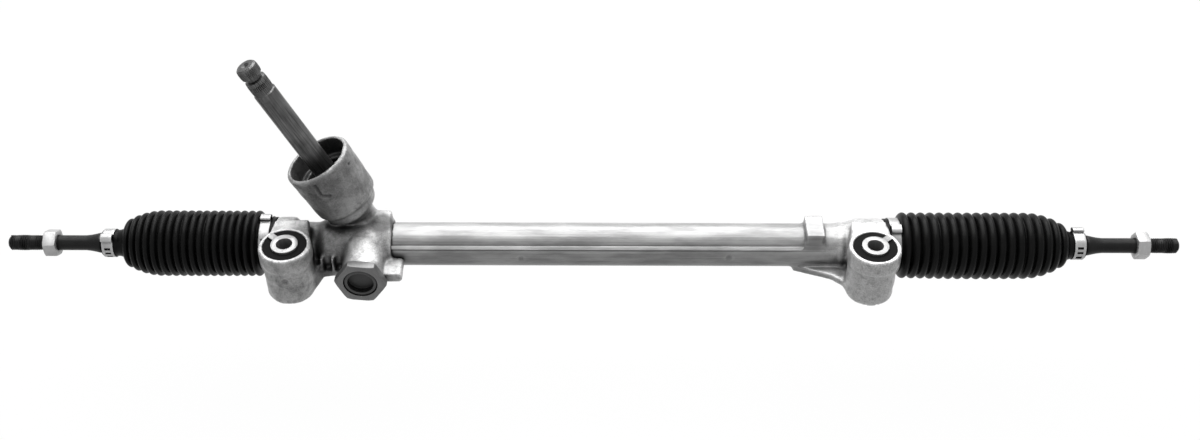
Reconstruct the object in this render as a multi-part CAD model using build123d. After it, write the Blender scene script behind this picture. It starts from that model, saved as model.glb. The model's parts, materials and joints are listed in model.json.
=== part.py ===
from build123d import *
import math
import os

# Rack-and-pinion steering rack, in millimetres.
# Origin: axis of the left mounting bush at the boss's mid-height.
# +X runs along the rack to the right mount, +Z along the mounting bolts, and
# the rack lies on the +Y side of the bolts. The pinion leans back over the left mount.

# --- layout ---------------------------------------------------------------
MOUNT_SPACING = 514.0        # between the two mounting bolts
RACK_OFFSET = 39.0           # rack axis behind the bolt line
RACK_DROP = 6.9              # rack axis below the bosses' mid-height
PINION_X = 66.5              # where the pinion axis crosses the rack
PINION_TILT = 25.0           # pinion axis from the vertical, towards -X
YOKE_X = 64.1                # yoke bore axis along the rack

# --- fits -----------------------------------------------------------------
SEAT_GAP = 0.05              # between pieces of one body that seat on each other
RUNNING_GAP = 0.06           # shaft in its bearing, per side
STOP_GAP = 0.3               # left between a socket and its stop at full travel
SOFT_GAP = 0.3               # between a rubber piece and a body that moves by it

# --- rack and pinion mesh ---------------------------------------------------
MODULE = 2.0                 # normal module
PINION_TEETH = 7
PRESSURE_ANGLE = 20.0        # normal pressure angle
PROFILE_SHIFT = 0.5          # keeps the seven-tooth pinion clear of undercut
BACKLASH = 0.10              # taken off each pinion tooth
TOOTH_CLEARANCE = 0.7        # between a tip and the root it faces
RACK_RADIUS = 12.5
RACK_LENGTH = 650.0
RACK_FLAT = 8.5              # tooth tips from the rack axis
RACK_TOOTH_COUNT = 28
TRAVEL_LEFT = 84.0           # from the rest position
TRAVEL_RIGHT = 60.0
PINION_FACE = 34.0           # toothed length of the pinion
PINION_TIP_TRIM = 0.22       # shortens the tooth tips

# --- pinion shaft and its bearings, heights along the pinion axis --------------
SHAFT_TOP = 203.9
SHAFT_RADIUS = 10.0
SHAFT_FLAT = 8.7             # flats from the axis
JOINT_RADIUS = 9.0           # end that the column's joint clamps
JOINT_LENGTH = 27.9
CAP_LENGTH = 11.0
NECK_RADIUS = 6.8
NECK_LENGTH = 2.6
CLAMP_GROOVE = 7.6           # radius in the pinch-bolt groove
GROOVE_AT = 5.0              # from the foot of the joint end
GROOVE_WIDTH = 4.6
GROOVE_SLOPE = 1.2
JOURNAL_RADIUS = 6.0
SHOULDER_RADIUS = 11.0
BEARING_FLOOR = 39.0
BEARING_RADIUS = 21.0
BEARING_WIDTH = 12.0
BALL_RADIUS = 3.2
BALL_COUNT = 9
BALL_CIRCLE = 15.5
SNAP_RING = 1.75
SNAP_EAR = 2.6               # radius of the ring's drilled ears
SEAL_WIDTH = 7.0
SEAL_SEAT = 2.0              # between the snap ring and the seal
NEEDLE_RADIUS = 9.0
NEEDLE_LENGTH = 12.0
PINION_FOOT = -38.0
FOOT_CAP = 4.5
SNAP_AT = BEARING_FLOOR + BEARING_WIDTH
SEAL_AT = SNAP_AT + SNAP_RING + SEAL_SEAT
NEEDLE_AT = -PINION_FACE / 2 - 1 - NEEDLE_LENGTH
FLAT_START = SEAL_AT + SEAL_WIDTH + 5
FLAT_END = SHAFT_TOP - JOINT_LENGTH - 6

# --- housing ------------------------------------------------------------------
TUBE_RADIUS = 19.5
TUBE_START = 88.2            # where the tube leaves the gear housing
COLLAR_AT = 42.0             # step round the tube, from the right spigot's shoulder
COLLAR_WIDTH = 4.0
COLLAR_HEIGHT = 1.0
LEFT_BARREL = 17.0           # length of the wide barrel at the left mount
RIGHT_BARREL = 25.0          # and at the right one, with its cone beyond
RIGHT_CONE = 12.0
MESH_BARREL = 46.0           # start of the barrel round the mesh, from the left spigot
SLEEVE_LENGTH = 12.0         # sleeve of the gear housing that the tube is pressed on
HOUSING_SLEEVE = 17.0        # its radius
LUG_HEIGHT = 4.5             # of the cast lugs above the tube
TUBE_LUG = 16.4              # length of the lug on the tube
TUBE_LUG_AT = 39.4           # its end, from the right mount
RIDGE_TURN = 70.0            # of the parting ridge, forwards from the top
RIDGE_WIDTH = 2.5
RIDGE_HEIGHT = 0.8
MAIN_BORE = 15.0
BARREL_RADIUS = 24.0         # beside each mount
PINION_BARREL = 23.0         # around the mesh
SPIGOT_RADIUS = 20.5         # carries the bellows cuff
SPIGOT_LENGTH = 11.5
END_BORE = 17.5              # clears the ball socket at full travel
END_DEPTH = 31.3             # of the left end bore; the travel sets the right one
LEFT_END = -28.5
RIGHT_END = MOUNT_SPACING + 27.8
CUP_RIM = 94.8
CUP_RADIUS = 30.5
CUP_FOOT_RADIUS = 28.8
CUP_FOOT = 44.0
CUP_BORE = 26.5
CUP_DEPTH = 18.0
CUP_WALL = 4.5               # around the upper bearing
BOSS_RADIUS = 23.0
BOSS_RIM = 17.0              # height of the boss's wide upper part
BOSS_FOOT_RADIUS = 21.3
BOSS_HEIGHT = 54.0
YOKE_HOUSING_RADIUS = 18.5
YOKE_FACE = 44.8             # front face from the rack axis
GUSSET = 6.5                 # thickness of the webs beside the mounts
GUSSET_TOP = -15.0
POCKET_RIBS = (25.0, 35.0)   # along the rack, between the left boss and the yoke
RIB_THICKNESS = 3.0

# --- plastic bush that carries the plain end of the rack ---------------------------
RACK_BUSH_RADIUS = MAIN_BORE + 1.5
RACK_BUSH_LENGTH = 17.0
RING_SECTION = 0.9           # of its two rubber rings
RING_ROOM = RING_SECTION + 0.1
RING_INSET = 4.5             # ring to the bush's end

# --- yoke ----------------------------------------------------------------------
YOKE_BORE = 15.0
YOKE_BACK = 27.0             # spring side of the yoke, from the rack axis
YOKE_ARM = 5.0               # cradle tips, from the rack axis
LINER = 1.0
PLUG_INNER = 28.0
PLUG_LENGTH = 24.0
PLUG_SOCKET = 11.5
PLUG_SOCKET_DEPTH = 6.0
NUT_FLATS = 40.0
NUT_THICKNESS = 8.0
NUT_TURN = -6.0              # where the corners stop when it is tight
SPRING_WIRE = 1.3
SPRING_RADIUS = 5.8
SPRING_POCKET = 8.0
SPRING_TURNS = 4
O_RING_AT = YOKE_BACK - 3.5

# --- mounting bushes -------------------------------------------------------------
BUSH_RADIUS = 19.0
SLEEVE_RADIUS = 11.7
BOLT_HOLE = 7.1
SLEEVE_PROUD = 1.2
TAB_HALF = 3.0               # half the width of the sleeve's tab
TAB_THICKNESS = 1.5
TAB_TURN = {"left": 140, "right": 40}

# --- rack ends and tie rods, distances from each ball centre, outwards --------------
BALL_JOINT_RADIUS = 11.0
SEAT_WALL = 1.5
SOCKET_RADIUS = 16.5
SOCKET_MOUTH = 9.5
SOCKET_BACK = -24.0
STUD_RADIUS = 7.0
STUD_LENGTH = 16.0
MOUTH_RADIUS = 10.6          # opening that the neck swings in
SPANNER_FLAT = 9.0           # length of the socket's two flats
SPANNER_DEPTH = 1.5          # that they are cut in
WASHER = 1.5
WASHER_LIP = 1.5             # beyond the rack, bent over to lock the socket
ROD_RADIUS = 6.8             # shank and the stretch under the lock nut
THREAD_RADIUS = 7.0          # free threaded end
ROD_NECK = 5.5
NECK_END = 22.0
NECK_TAPER = 5.0             # from the neck out to the shank
THREAD_CHAMFER = 1.5
ROD_LENGTH = 178.0
CUFF_SEAT_RADIUS = 8.2
CUFF_SEAT_START = 78.0
CUFF_SEAT_END = 94.0
SEAT_TAPER = 3.0             # from the shank out to the cuff seat
ROD_FLARE = 9.3
FLARE_LENGTH = 14.0
FLARE_SHOULDER = 2.0         # straight start of the flare
LOCK_NUT_FLATS = 22.0
LOCK_NUT = 11.0
LOCK_NUT_FROM_TIP = {"left": 38.5, "right": 33.5}

# --- bellows and clamps -----------------------------------------------------------
BELLOWS_RADIUS = 29.6
RIB_DEPTH = 5.4
RIB_CREST = 0.15             # half the flat of a rib's crest, as a share of the pitch
RUBBER = 2.2
RIBS = 18
END_RIB_RADIUS = 15.5        # that the taper starts from
RIB_STANDOFF = {"left": 5.0, "right": 1.0}  # plain cone between the ribs and the small cuff
CUFF_WALL = 3.4
CUFF_LENGTH = 13.0
SMALL_CUFF_WALL = 3.7
SMALL_CUFF_LENGTH = 15.5
TAPER = 38.0                 # last stretch, where the ribs get smaller
BAND = 0.8
LARGE_BAND_WIDTH = 9.0
SMALL_BAND_WIDTH = 10.0
EAR_HALF = 4.0               # half the width of a band's crimped ear
EAR_HEIGHT = 4.0
EAR_WALL = 1.4
EAR_ROOF = 1.0
LARGE_EAR_TURN = {"left": -14, "right": 14}
SMALL_EAR_TURN = {"left": 30, "right": -30}

# --- worked out ---------------------------------------------------------------------
TILT = math.radians(PINION_TILT)
FLANK = math.radians(PRESSURE_ANGLE)
PITCH = math.pi * MODULE
TRANSVERSE_MODULE = MODULE / math.cos(TILT)
PITCH_RADIUS = PINION_TEETH * TRANSVERSE_MODULE / 2
TRANSVERSE_ANGLE = math.atan(math.tan(FLANK) / math.cos(TILT))
BASE_RADIUS = PITCH_RADIUS * math.cos(TRANSVERSE_ANGLE)
REFERENCE_LINE = RACK_FLAT - MODULE
PINION_OFFSET = REFERENCE_LINE + PITCH_RADIUS + PROFILE_SHIFT * MODULE
PINION_TIP = PITCH_RADIUS + (1 + PROFILE_SHIFT) * MODULE - PINION_TIP_TRIM
PINION_ROOT = PINION_OFFSET - RACK_FLAT - TOOTH_CLEARANCE / 2
RACK_ROOT = PINION_OFFSET - PINION_TIP - TOOTH_CLEARANCE
TWIST = math.tan(TILT) / PITCH_RADIUS

STOP_LEFT = LEFT_END + END_DEPTH
RACK_LEFT = STOP_LEFT - STOP_GAP - TRAVEL_RIGHT + WASHER
RACK_RIGHT = RACK_LEFT + RACK_LENGTH
STOP_RIGHT = RACK_RIGHT + WASHER - TRAVEL_LEFT - STOP_GAP
BALL_X = {
    "left": RACK_LEFT - WASHER + SOCKET_BACK,
    "right": RACK_RIGHT + WASHER - SOCKET_BACK,
}
BUSH_X = STOP_RIGHT - RACK_BUSH_LENGTH - 5
BUSH_RINGS = (BUSH_X + RING_INSET, BUSH_X + RACK_BUSH_LENGTH - RING_INSET)
CUFF_RADIUS = SPIGOT_RADIUS + CUFF_WALL
SMALL_CUFF_RADIUS = CUFF_SEAT_RADIUS + SMALL_CUFF_WALL

RACK = Location((0, RACK_OFFSET, -RACK_DROP))
PINION = Location(
    (PINION_X, RACK_OFFSET + PINION_OFFSET, -RACK_DROP), (0, -90 - PINION_TILT, 0)
)
YOKE = Location((YOKE_X, RACK_OFFSET, -RACK_DROP), (0, 0, -90))
MOUNTS = {
    "left": Location((0, 0, 0)),
    "right": Location((MOUNT_SPACING, 0, 0)),
}
ENDS = {
    "left": Location((BALL_X["left"], RACK_OFFSET, -RACK_DROP), (0, 0, 180)),
    "right": Location((BALL_X["right"], RACK_OFFSET, -RACK_DROP)),
}


# --- shared shapes ---------------------------------------------------------------------
def turned(points):
    """Solid of revolution about X through (x, radius) points, closed to the axis."""
    outline = [(points[0][0], 0), *points, (points[-1][0], 0)]
    return revolve(make_face(Polyline(*outline, close=True)), Axis.X)


def rod(start, end, radius, chamfered=0):
    """Round bar along X, with its ends chamfered if asked."""
    if not chamfered:
        return turned([(start, radius), (end, radius)])
    return turned(
        [
            (start, radius - chamfered),
            (start + chamfered, radius),
            (end - chamfered, radius),
            (end, radius - chamfered),
        ]
    )


def ring(start, end, outer, inner):
    """Flat-ended ring about X."""
    return rod(start, end, outer) - rod(start - 1, end + 1, inner)


def hexagon(start, end, flats, point_up=False):
    """Hexagonal bar along X with its corners turned down by a chamfer."""
    section = RegularPolygon(flats / 2, 6, major_radius=False, rotation=30 if point_up else 0)
    bar = extrude(Plane.YZ.offset(start) * section, end - start)
    corner = flats / math.sqrt(3)
    bevel = (corner - flats / 2) * 0.7
    cone = turned(
        [
            (start, corner - bevel),
            (start + bevel * 0.5, corner),
            (end - bevel * 0.5, corner),
            (end, corner - bevel),
        ]
    )
    return bar & cone


def block(x, y, z):
    """Box from three (low, high) spans."""
    size = [high - low for low, high in (x, y, z)]
    centre = [(high + low) / 2 for low, high in (x, y, z)]
    return Pos(*centre) * Box(*size)


def upright(outline, low, high):
    """Prism of a closed XY outline between two heights."""
    return extrude(Pos(0, 0, low) * make_face(Polyline(*outline, close=True)), high - low)


# --- housing -----------------------------------------------------------------------------
def gear_barrel():
    """Left end of the housing along the rack: spigot, barrel, neck and the part round the mesh."""
    barrel = LEFT_END + SPIGOT_LENGTH
    profile = [
        (LEFT_END, SPIGOT_RADIUS - 0.6),
        (LEFT_END + 1, SPIGOT_RADIUS),
        (barrel, SPIGOT_RADIUS),
        (barrel, BARREL_RADIUS - 1),
        (barrel + 1, BARREL_RADIUS),
        (barrel + LEFT_BARREL, BARREL_RADIUS),
        (barrel + LEFT_BARREL + 3, TUBE_RADIUS),
        (barrel + MESH_BARREL - 8, TUBE_RADIUS),
        (barrel + MESH_BARREL, PINION_BARREL),
        (TUBE_START - 1.5, PINION_BARREL),
        (TUBE_START, PINION_BARREL - 1.5),
        (TUBE_START, HOUSING_SLEEVE),
        (TUBE_START + SLEEVE_LENGTH - 0.6, HOUSING_SLEEVE),
        (TUBE_START + SLEEVE_LENGTH, HOUSING_SLEEVE - 0.6),
    ]
    return RACK * turned(profile)


def tube_barrel():
    """Tube from the gear housing's face to the right spigot, with its collar step."""
    barrel = RIGHT_END - SPIGOT_LENGTH
    profile = [
        (TUBE_START + SEAT_GAP, TUBE_RADIUS),
        (barrel - COLLAR_AT - 0.5, TUBE_RADIUS),
        (barrel - COLLAR_AT, TUBE_RADIUS + COLLAR_HEIGHT),
        (barrel - COLLAR_AT + COLLAR_WIDTH, TUBE_RADIUS + COLLAR_HEIGHT),
        (barrel - RIGHT_BARREL - RIGHT_CONE, TUBE_RADIUS),
        (barrel - RIGHT_BARREL, BARREL_RADIUS),
        (barrel - 1, BARREL_RADIUS),
        (barrel, BARREL_RADIUS - 1),
        (barrel, SPIGOT_RADIUS),
        (RIGHT_END - 1, SPIGOT_RADIUS),
        (RIGHT_END, SPIGOT_RADIUS - 0.6),
    ]
    return RACK * turned(profile)


def housing_pinion():
    """Outside of the pinion housing: slim foot, bearing barrel and flared cup."""
    bearing_wall = BEARING_RADIUS + CUP_WALL
    foot_wall = NEEDLE_RADIUS + 3.5
    rim = 1.5
    profile = [
        (PINION_FOOT, foot_wall - 1),
        (PINION_FOOT + 1, foot_wall),
        (-PINION_FACE / 2 - 2, foot_wall),
        (-PINION_FACE / 2 + 6, PINION_TIP + 4.5),
        (BEARING_FLOOR - 13, PINION_TIP + 5),
        (BEARING_FLOOR - 8, PINION_TIP + 7.5),
        (BEARING_FLOOR - 3, bearing_wall - 1),
        (CUP_FOOT, bearing_wall + 0.5),
        (CUP_FOOT + 2, CUP_FOOT_RADIUS),
        (CUP_RIM - rim, CUP_RADIUS),
        (CUP_RIM, CUP_RADIUS - rim),
    ]
    return PINION * turned(profile)


def housing_yoke():
    """Outside of the yoke housing in front of the mesh, flared into the barrel."""
    profile = [
        (0, PINION_BARREL - 0.5),
        (PINION_BARREL - 6, PINION_BARREL - 0.5),
        (PINION_BARREL + 5, YOKE_HOUSING_RADIUS),
        (YOKE_FACE - 1, YOKE_HOUSING_RADIUS),
        (YOKE_FACE, YOKE_HOUSING_RADIUS - 1),
    ]
    return YOKE * turned(profile)


def mount_boss(side):
    """Upright boss with the saddle that joins it to the barrel behind."""
    top = BOSS_HEIGHT / 2
    step = BOSS_RADIUS - BOSS_FOOT_RADIUS
    foot = Pos(0, 0, -top) * extrude(Circle(BOSS_FOOT_RADIUS), BOSS_HEIGHT - 1)
    foot = fillet(foot.edges().group_by(Axis.Z)[0], 4)
    rim = Pos(0, 0, top - BOSS_RIM) * extrude(Circle(BOSS_RADIUS), BOSS_RIM)
    rim = chamfer(rim.edges().group_by(Axis.Z)[-1], 1)
    rim = chamfer(rim.edges().group_by(Axis.Z)[0], step - 0.1)
    boss = foot + rim
    half = BOSS_RADIUS - 2
    saddle = upright(
        [(-half, 0), (half, 0), (half - 6, RACK_OFFSET), (-half + 6, RACK_OFFSET)],
        -top + 6,
        top - 5,
    )
    return MOUNTS[side] * (boss + saddle)


def left_web():
    """Deep flank from the left boss back to the neck, and the ribbed web to the yoke."""
    low = -BOSS_HEIGHT / 2 + 2
    flank = Pos(0, 0, low) * extrude(
        make_hull(
            [
                *Circle(BOSS_FOOT_RADIUS - 0.5).edges(),
                *(Pos(16.5, RACK_OFFSET - 16) * Circle(13)).edges(),
            ]
        ),
        GUSSET_TOP - low + 8,
    )
    yoke_side = YOKE_X - YOKE_HOUSING_RADIUS
    web = upright(
        [(0, -8), (26, 9), (yoke_side + 3, 12), (yoke_side + 3, RACK_OFFSET), (0, RACK_OFFSET)],
        GUSSET_TOP - GUSSET,
        GUSSET_TOP,
    )
    ribs = [
        block((x, x + RIB_THICKNESS), (10, RACK_OFFSET), (GUSSET_TOP - 3, GUSSET_TOP + 14))
        for x in POCKET_RIBS
    ]
    return flank + web + ribs


def right_web():
    """Curved web from the tube to the right boss."""
    boss_left = MOUNT_SPACING - BOSS_FOOT_RADIUS - 0.7
    front = RACK_OFFSET - TUBE_RADIUS
    edge = (
        Polyline((boss_left - 44, front + 4), (boss_left - 44, front), (boss_left - 12, 8))
        + ThreePointArc((boss_left - 12, 8), (boss_left - 4.5, 2.5), (boss_left + 1, -7))
        + Polyline(
            (boss_left + 1, -7),
            (boss_left + 20, 0),
            (boss_left + 20, front + 4),
            (boss_left - 44, front + 4),
        )
    )
    return extrude(Pos(0, 0, GUSSET_TOP - GUSSET) * make_face(edge), GUSSET)


def gear_lugs():
    """Machining lugs beside the yoke and behind the mesh."""
    back_lug = block((PINION_X, TUBE_START - 2), (3, 20), (0, TUBE_RADIUS + LUG_HEIGHT))
    side = YOKE_X + YOKE_HOUSING_RADIUS
    front_lug = block((side - 4, side + 16.6), (2.4 - YOKE_FACE, 1 - TUBE_RADIUS), (-7.7, 2))
    front_lug = chamfer(front_lug.edges().filter_by(Axis.Y), 2)
    return [RACK * lug for lug in (back_lug, front_lug)]


def tube_lugs():
    """Machining lug on the tube and the ridge where the casting die parts."""
    lug_end = MOUNT_SPACING - TUBE_LUG_AT
    lug = block((lug_end - TUBE_LUG, lug_end), (-15, 13), (0, TUBE_RADIUS + LUG_HEIGHT))
    ridge = block(
        (TUBE_START + 1, MOUNT_SPACING - 25),
        (-RIDGE_WIDTH / 2, RIDGE_WIDTH / 2),
        (TUBE_RADIUS - 1.5, TUBE_RADIUS + RIDGE_HEIGHT),
    )
    return [RACK * lug, RACK * Rot(RIDGE_TURN, 0, 0) * ridge]


def cuff_relief(start, end):
    """Ring turned away round a spigot, so that the bellows cuff and its clamp go on."""
    return RACK * ring(start, end, CUFF_RADIUS + BAND, SPIGOT_RADIUS)


def bush_bore(side):
    return MOUNTS[side] * Pos(0, 0, -BOSS_HEIGHT) * extrude(Circle(BUSH_RADIUS), 2 * BOSS_HEIGHT)


def gear_housing():
    """Casting with the left mount, the pinion cup and the yoke bore."""
    body = gear_barrel() + housing_pinion() + housing_yoke()
    body += [mount_boss("left"), left_web(), *gear_lugs()]
    body -= cuff_relief(LEFT_END - 1, LEFT_END + SPIGOT_LENGTH)
    body -= RACK * rod(LEFT_END - 1, TUBE_START + SLEEVE_LENGTH + 1, MAIN_BORE)
    body -= RACK * rod(LEFT_END - 1, STOP_LEFT, END_BORE)
    tube_room = (TUBE_START, TUBE_START + 2 * TUBE_RADIUS)
    body -= RACK * ring(*tube_room, TUBE_RADIUS + SEAT_GAP, HOUSING_SLEEVE)

    cavity = [
        (PINION_FOOT - 1, NEEDLE_RADIUS),
        (-PINION_FACE / 2 - 1, NEEDLE_RADIUS),
        (-PINION_FACE / 2 - 1, PINION_TIP + 1),
        (PINION_FACE / 2 + 1, PINION_TIP + 1),
        (PINION_FACE / 2 + 1, SHOULDER_RADIUS + 1),
        (BEARING_FLOOR, SHOULDER_RADIUS + 1),
        (BEARING_FLOOR, BEARING_RADIUS),
        (SNAP_AT, BEARING_RADIUS),
        (SNAP_AT, BEARING_RADIUS + 1.2),
        (SNAP_AT + SNAP_RING, BEARING_RADIUS + 1.2),
        (SNAP_AT + SNAP_RING, BEARING_RADIUS),
        (CUP_RIM - CUP_DEPTH, BEARING_RADIUS),
        (CUP_RIM - CUP_DEPTH, CUP_BORE),
        (CUP_RIM + 1, CUP_BORE),
    ]
    body -= PINION * turned(cavity)
    body -= YOKE * rod(0, YOKE_FACE + 1, YOKE_BORE)
    return body - bush_bore("left")


def tube_housing():
    """Casting with the long tube and the right mount, pressed on the gear housing's sleeve."""
    body = tube_barrel() + mount_boss("right") + right_web()
    body += tube_lugs()
    body -= cuff_relief(RIGHT_END - SPIGOT_LENGTH, RIGHT_END + 1)
    body -= RACK * rod(TUBE_START - 1, RIGHT_END + 1, MAIN_BORE)
    sleeve_end = TUBE_START + SLEEVE_LENGTH + SEAT_GAP
    body -= RACK * rod(TUBE_START - 1, sleeve_end, HOUSING_SLEEVE + SEAT_GAP)
    body -= RACK * rod(STOP_RIGHT, RIGHT_END + 1, END_BORE)
    body -= RACK * rod(BUSH_X, BUSH_X + RACK_BUSH_LENGTH, RACK_BUSH_RADIUS)
    return body - bush_bore("right")


# --- rack ------------------------------------------------------------------------------------
def rack_bar():
    """Round bar with straight teeth cut across a flat, and a threaded hole in each end."""
    bar = rod(RACK_LEFT, RACK_RIGHT, RACK_RADIUS, 1)
    for start, end in ((RACK_LEFT - 1, RACK_LEFT + STUD_LENGTH + 2),
                       (RACK_RIGHT - STUD_LENGTH - 2, RACK_RIGHT + 1)):
        bar -= rod(start, end, STUD_RADIUS + SEAT_GAP)
    middle = PINION_X + (TRAVEL_LEFT - TRAVEL_RIGHT) / 2
    first = PINION_X - PITCH * round((RACK_TOOTH_COUNT * PITCH / 2 - (middle - PINION_X)) / PITCH)
    wide = 2 * RACK_RADIUS
    flat_start = first - PITCH / 2
    flat_end = flat_start + RACK_TOOTH_COUNT * PITCH
    bar -= block((flat_start, flat_end), (RACK_FLAT, wide), (-wide, wide))
    slope = math.tan(FLANK)
    above = 1.0
    root_half = PITCH / 4 - (REFERENCE_LINE - RACK_ROOT) * slope
    open_half = PITCH / 4 + (RACK_FLAT + above - REFERENCE_LINE) * slope
    gap = upright(
        [
            (-root_half, RACK_ROOT),
            (root_half, RACK_ROOT),
            (open_half, RACK_FLAT + above),
            (-open_half, RACK_FLAT + above),
        ],
        -wide,
        wide,
    )
    spaces = [Pos(first + (n + 0.5) * PITCH, 0, 0) * gap for n in range(RACK_TOOTH_COUNT - 1)]
    return RACK * (bar - spaces)


def rack_bush():
    """Split plastic bush that snaps into its groove and guides the plain end of the rack."""
    outer = RACK_BUSH_RADIUS - SEAT_GAP
    start = BUSH_X + SEAT_GAP
    end = BUSH_X + RACK_BUSH_LENGTH - SEAT_GAP
    bush = ring(start, end, outer, RACK_RADIUS + RUNNING_GAP)
    for x in BUSH_RINGS:
        bush -= ring(x - RING_ROOM, x + RING_ROOM, outer + 1, outer - 2 * RING_ROOM)
    slit = block((start - 1, end + 1), (-0.75, 0.75), (-2 * outer, 0))
    return RACK * (bush - slit)


def bush_o_rings():
    """Two rubber rings that keep the bush quiet in the housing."""
    radius = RACK_BUSH_RADIUS - 2 * SEAT_GAP - RING_SECTION
    return [RACK * Pos(x, 0, 0) * Rot(0, 90, 0) * Torus(radius, RING_SECTION) for x in BUSH_RINGS]


# --- pinion ---------------------------------------------------------------------------------
def involute(angle):
    return math.tan(angle) - angle


def tooth_half_angle(radius):
    """Half the tooth's angle at a radius, in the plane across the pinion axis."""
    thickness = TRANSVERSE_MODULE * (math.pi / 2 + 2 * PROFILE_SHIFT * math.tan(FLANK)) - BACKLASH
    at_pitch = thickness / (2 * PITCH_RADIUS)
    pressure = math.acos(min(1.0, BASE_RADIUS / radius))
    return at_pitch + involute(TRANSVERSE_ANGLE) - involute(pressure)


def polar(radius, angle):
    return (radius * math.cos(angle), radius * math.sin(angle))


def pinion_section(turn):
    """Seven involute teeth, with a tooth space facing -Y when turn is 0."""
    steps = 4
    pitch_angle = 2 * math.pi / PINION_TEETH
    radii = [BASE_RADIUS + (PINION_TIP - BASE_RADIUS) * n / steps for n in range(steps + 1)]
    edges = []
    for tooth in range(PINION_TEETH):
        centre = turn - math.pi / 2 + (tooth + 0.5) * pitch_angle
        after = centre + pitch_angle
        foot = tooth_half_angle(BASE_RADIUS)
        rising = [polar(r, centre - tooth_half_angle(r)) for r in radii]
        falling = [polar(r, centre + tooth_half_angle(r)) for r in reversed(radii)]
        root_start = polar(PINION_ROOT, centre - foot)
        root_end = polar(PINION_ROOT, centre + foot)
        next_root = polar(PINION_ROOT, after - foot)
        edges += [
            Line(root_start, rising[0]),
            Spline(*rising),
            ThreePointArc(rising[-1], polar(PINION_TIP, centre), falling[0]),
            Spline(*falling),
            Line(falling[-1], root_end),
            ThreePointArc(root_end, polar(PINION_ROOT, centre + pitch_angle / 2), next_root),
        ]
    return make_face(edges)


def pinion_teeth():
    """Helical teeth: the helix angle equals the tilt, so they meet the rack's straight teeth."""
    start = -PINION_FACE / 2
    section = (Pos(0, 0, start) * pinion_section(TWIST * start)).face()
    gear = Solid.extrude_linear_with_rotation(
        section, (0, 0, start), (0, 0, PINION_FACE), math.degrees(TWIST * PINION_FACE)
    )
    return Rot(0, 90, 0) * gear


def pinion_shaft():
    """Pinion, bearing shoulder, flatted shaft and the end that takes the column's joint."""
    cap = SHAFT_TOP - CAP_LENGTH
    neck = cap - NECK_LENGTH
    joint = SHAFT_TOP - JOINT_LENGTH
    groove = joint + GROOVE_AT
    groove_end = groove + GROOVE_WIDTH
    above = [
        (PINION_FACE / 2, PINION_ROOT),
        (PINION_FACE / 2 + 2, PINION_ROOT),
        (PINION_FACE / 2 + 5, SHOULDER_RADIUS),
        (BEARING_FLOOR, SHOULDER_RADIUS),
        (BEARING_FLOOR, SHAFT_RADIUS),
        (joint - 1, SHAFT_RADIUS),
        (joint, JOINT_RADIUS),
        (groove, JOINT_RADIUS),
        (groove + GROOVE_SLOPE, CLAMP_GROOVE),
        (groove_end - GROOVE_SLOPE, CLAMP_GROOVE),
        (groove_end, JOINT_RADIUS),
        (neck - 1, JOINT_RADIUS),
        (neck, NECK_RADIUS),
        (cap, NECK_RADIUS),
        (cap + 1, JOINT_RADIUS),
        (SHAFT_TOP - 1.5, JOINT_RADIUS),
        (SHAFT_TOP, JOINT_RADIUS - 1.5),
    ]
    below = [
        (NEEDLE_AT - 1, JOURNAL_RADIUS - 1),
        (NEEDLE_AT, JOURNAL_RADIUS),
        (-PINION_FACE / 2, JOURNAL_RADIUS),
    ]
    shaft = turned(below + above)
    for side in (-1, 1):
        span = sorted((side * SHAFT_FLAT, side * 2 * SHAFT_RADIUS))
        shaft -= block((FLAT_START, FLAT_END), span, (-20, 20))
    drill = turned([(SHAFT_TOP - 5, 1.2), (SHAFT_TOP - 2, 1.6), (SHAFT_TOP + 1, 4.6)])
    return PINION * (shaft + pinion_teeth() - drill)


def bearing_rings():
    """Outer and inner race of the upper ball bearing, grooved for the balls."""
    start, end = BEARING_FLOOR + SEAT_GAP, SNAP_AT - SEAT_GAP
    middle = (start + end) / 2
    groove = Pos(middle, 0, 0) * Rot(0, 90, 0) * Torus(BALL_CIRCLE, BALL_RADIUS + RUNNING_GAP)
    outer = ring(start, end, BEARING_RADIUS - SEAT_GAP, BALL_CIRCLE + 1.9) - groove
    inner = ring(start, end, BALL_CIRCLE - 1.9, SHAFT_RADIUS + SEAT_GAP) - groove
    return PINION * outer, PINION * inner


def bearing_balls():
    middle = BEARING_FLOOR + BEARING_WIDTH / 2
    step = 360 / BALL_COUNT
    return [
        PINION * Rot(n * step, 0, 0) * Pos(middle, 0, BALL_CIRCLE) * Sphere(BALL_RADIUS)
        for n in range(BALL_COUNT)
    ]


def snap_ring():
    """Open ring with two drilled ears that holds the bearing down."""
    start, end = SNAP_AT + SEAT_GAP, SNAP_AT + SNAP_RING - SEAT_GAP
    body = ring(start, end, BEARING_RADIUS + 1.1, BEARING_RADIUS - 2.2)
    body -= block((start - 1, end + 1), (-4, 4), (0, 2 * BEARING_RADIUS))
    for side in (-1, 1):
        ear = rod(start, end, SNAP_EAR) - rod(start - 1, end + 1, 1)
        body += Pos(0, side * (SNAP_EAR + 3), BEARING_RADIUS - 4.4) * ear
    return PINION * body


def pinion_seal():
    """Rubber-faced seal: pressed into the housing, with a lip that runs on the shaft."""
    seal = turned(
        [
            (SEAL_AT, BEARING_RADIUS - SEAT_GAP),
            (SEAL_AT + SEAL_WIDTH, BEARING_RADIUS - SEAT_GAP),
            (SEAL_AT + SEAL_WIDTH, BEARING_RADIUS - 3),
            (SEAL_AT + SEAL_WIDTH - 2, BEARING_RADIUS - 4),
            (SEAL_AT + SEAL_WIDTH - 2, SHAFT_RADIUS + 3),
            (SEAL_AT + SEAL_WIDTH, SHAFT_RADIUS + 1.5),
        ]
    )
    return PINION * (seal - rod(SEAL_AT - 1, SEAL_AT + SEAL_WIDTH + 1, SHAFT_RADIUS + RUNNING_GAP))


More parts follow.
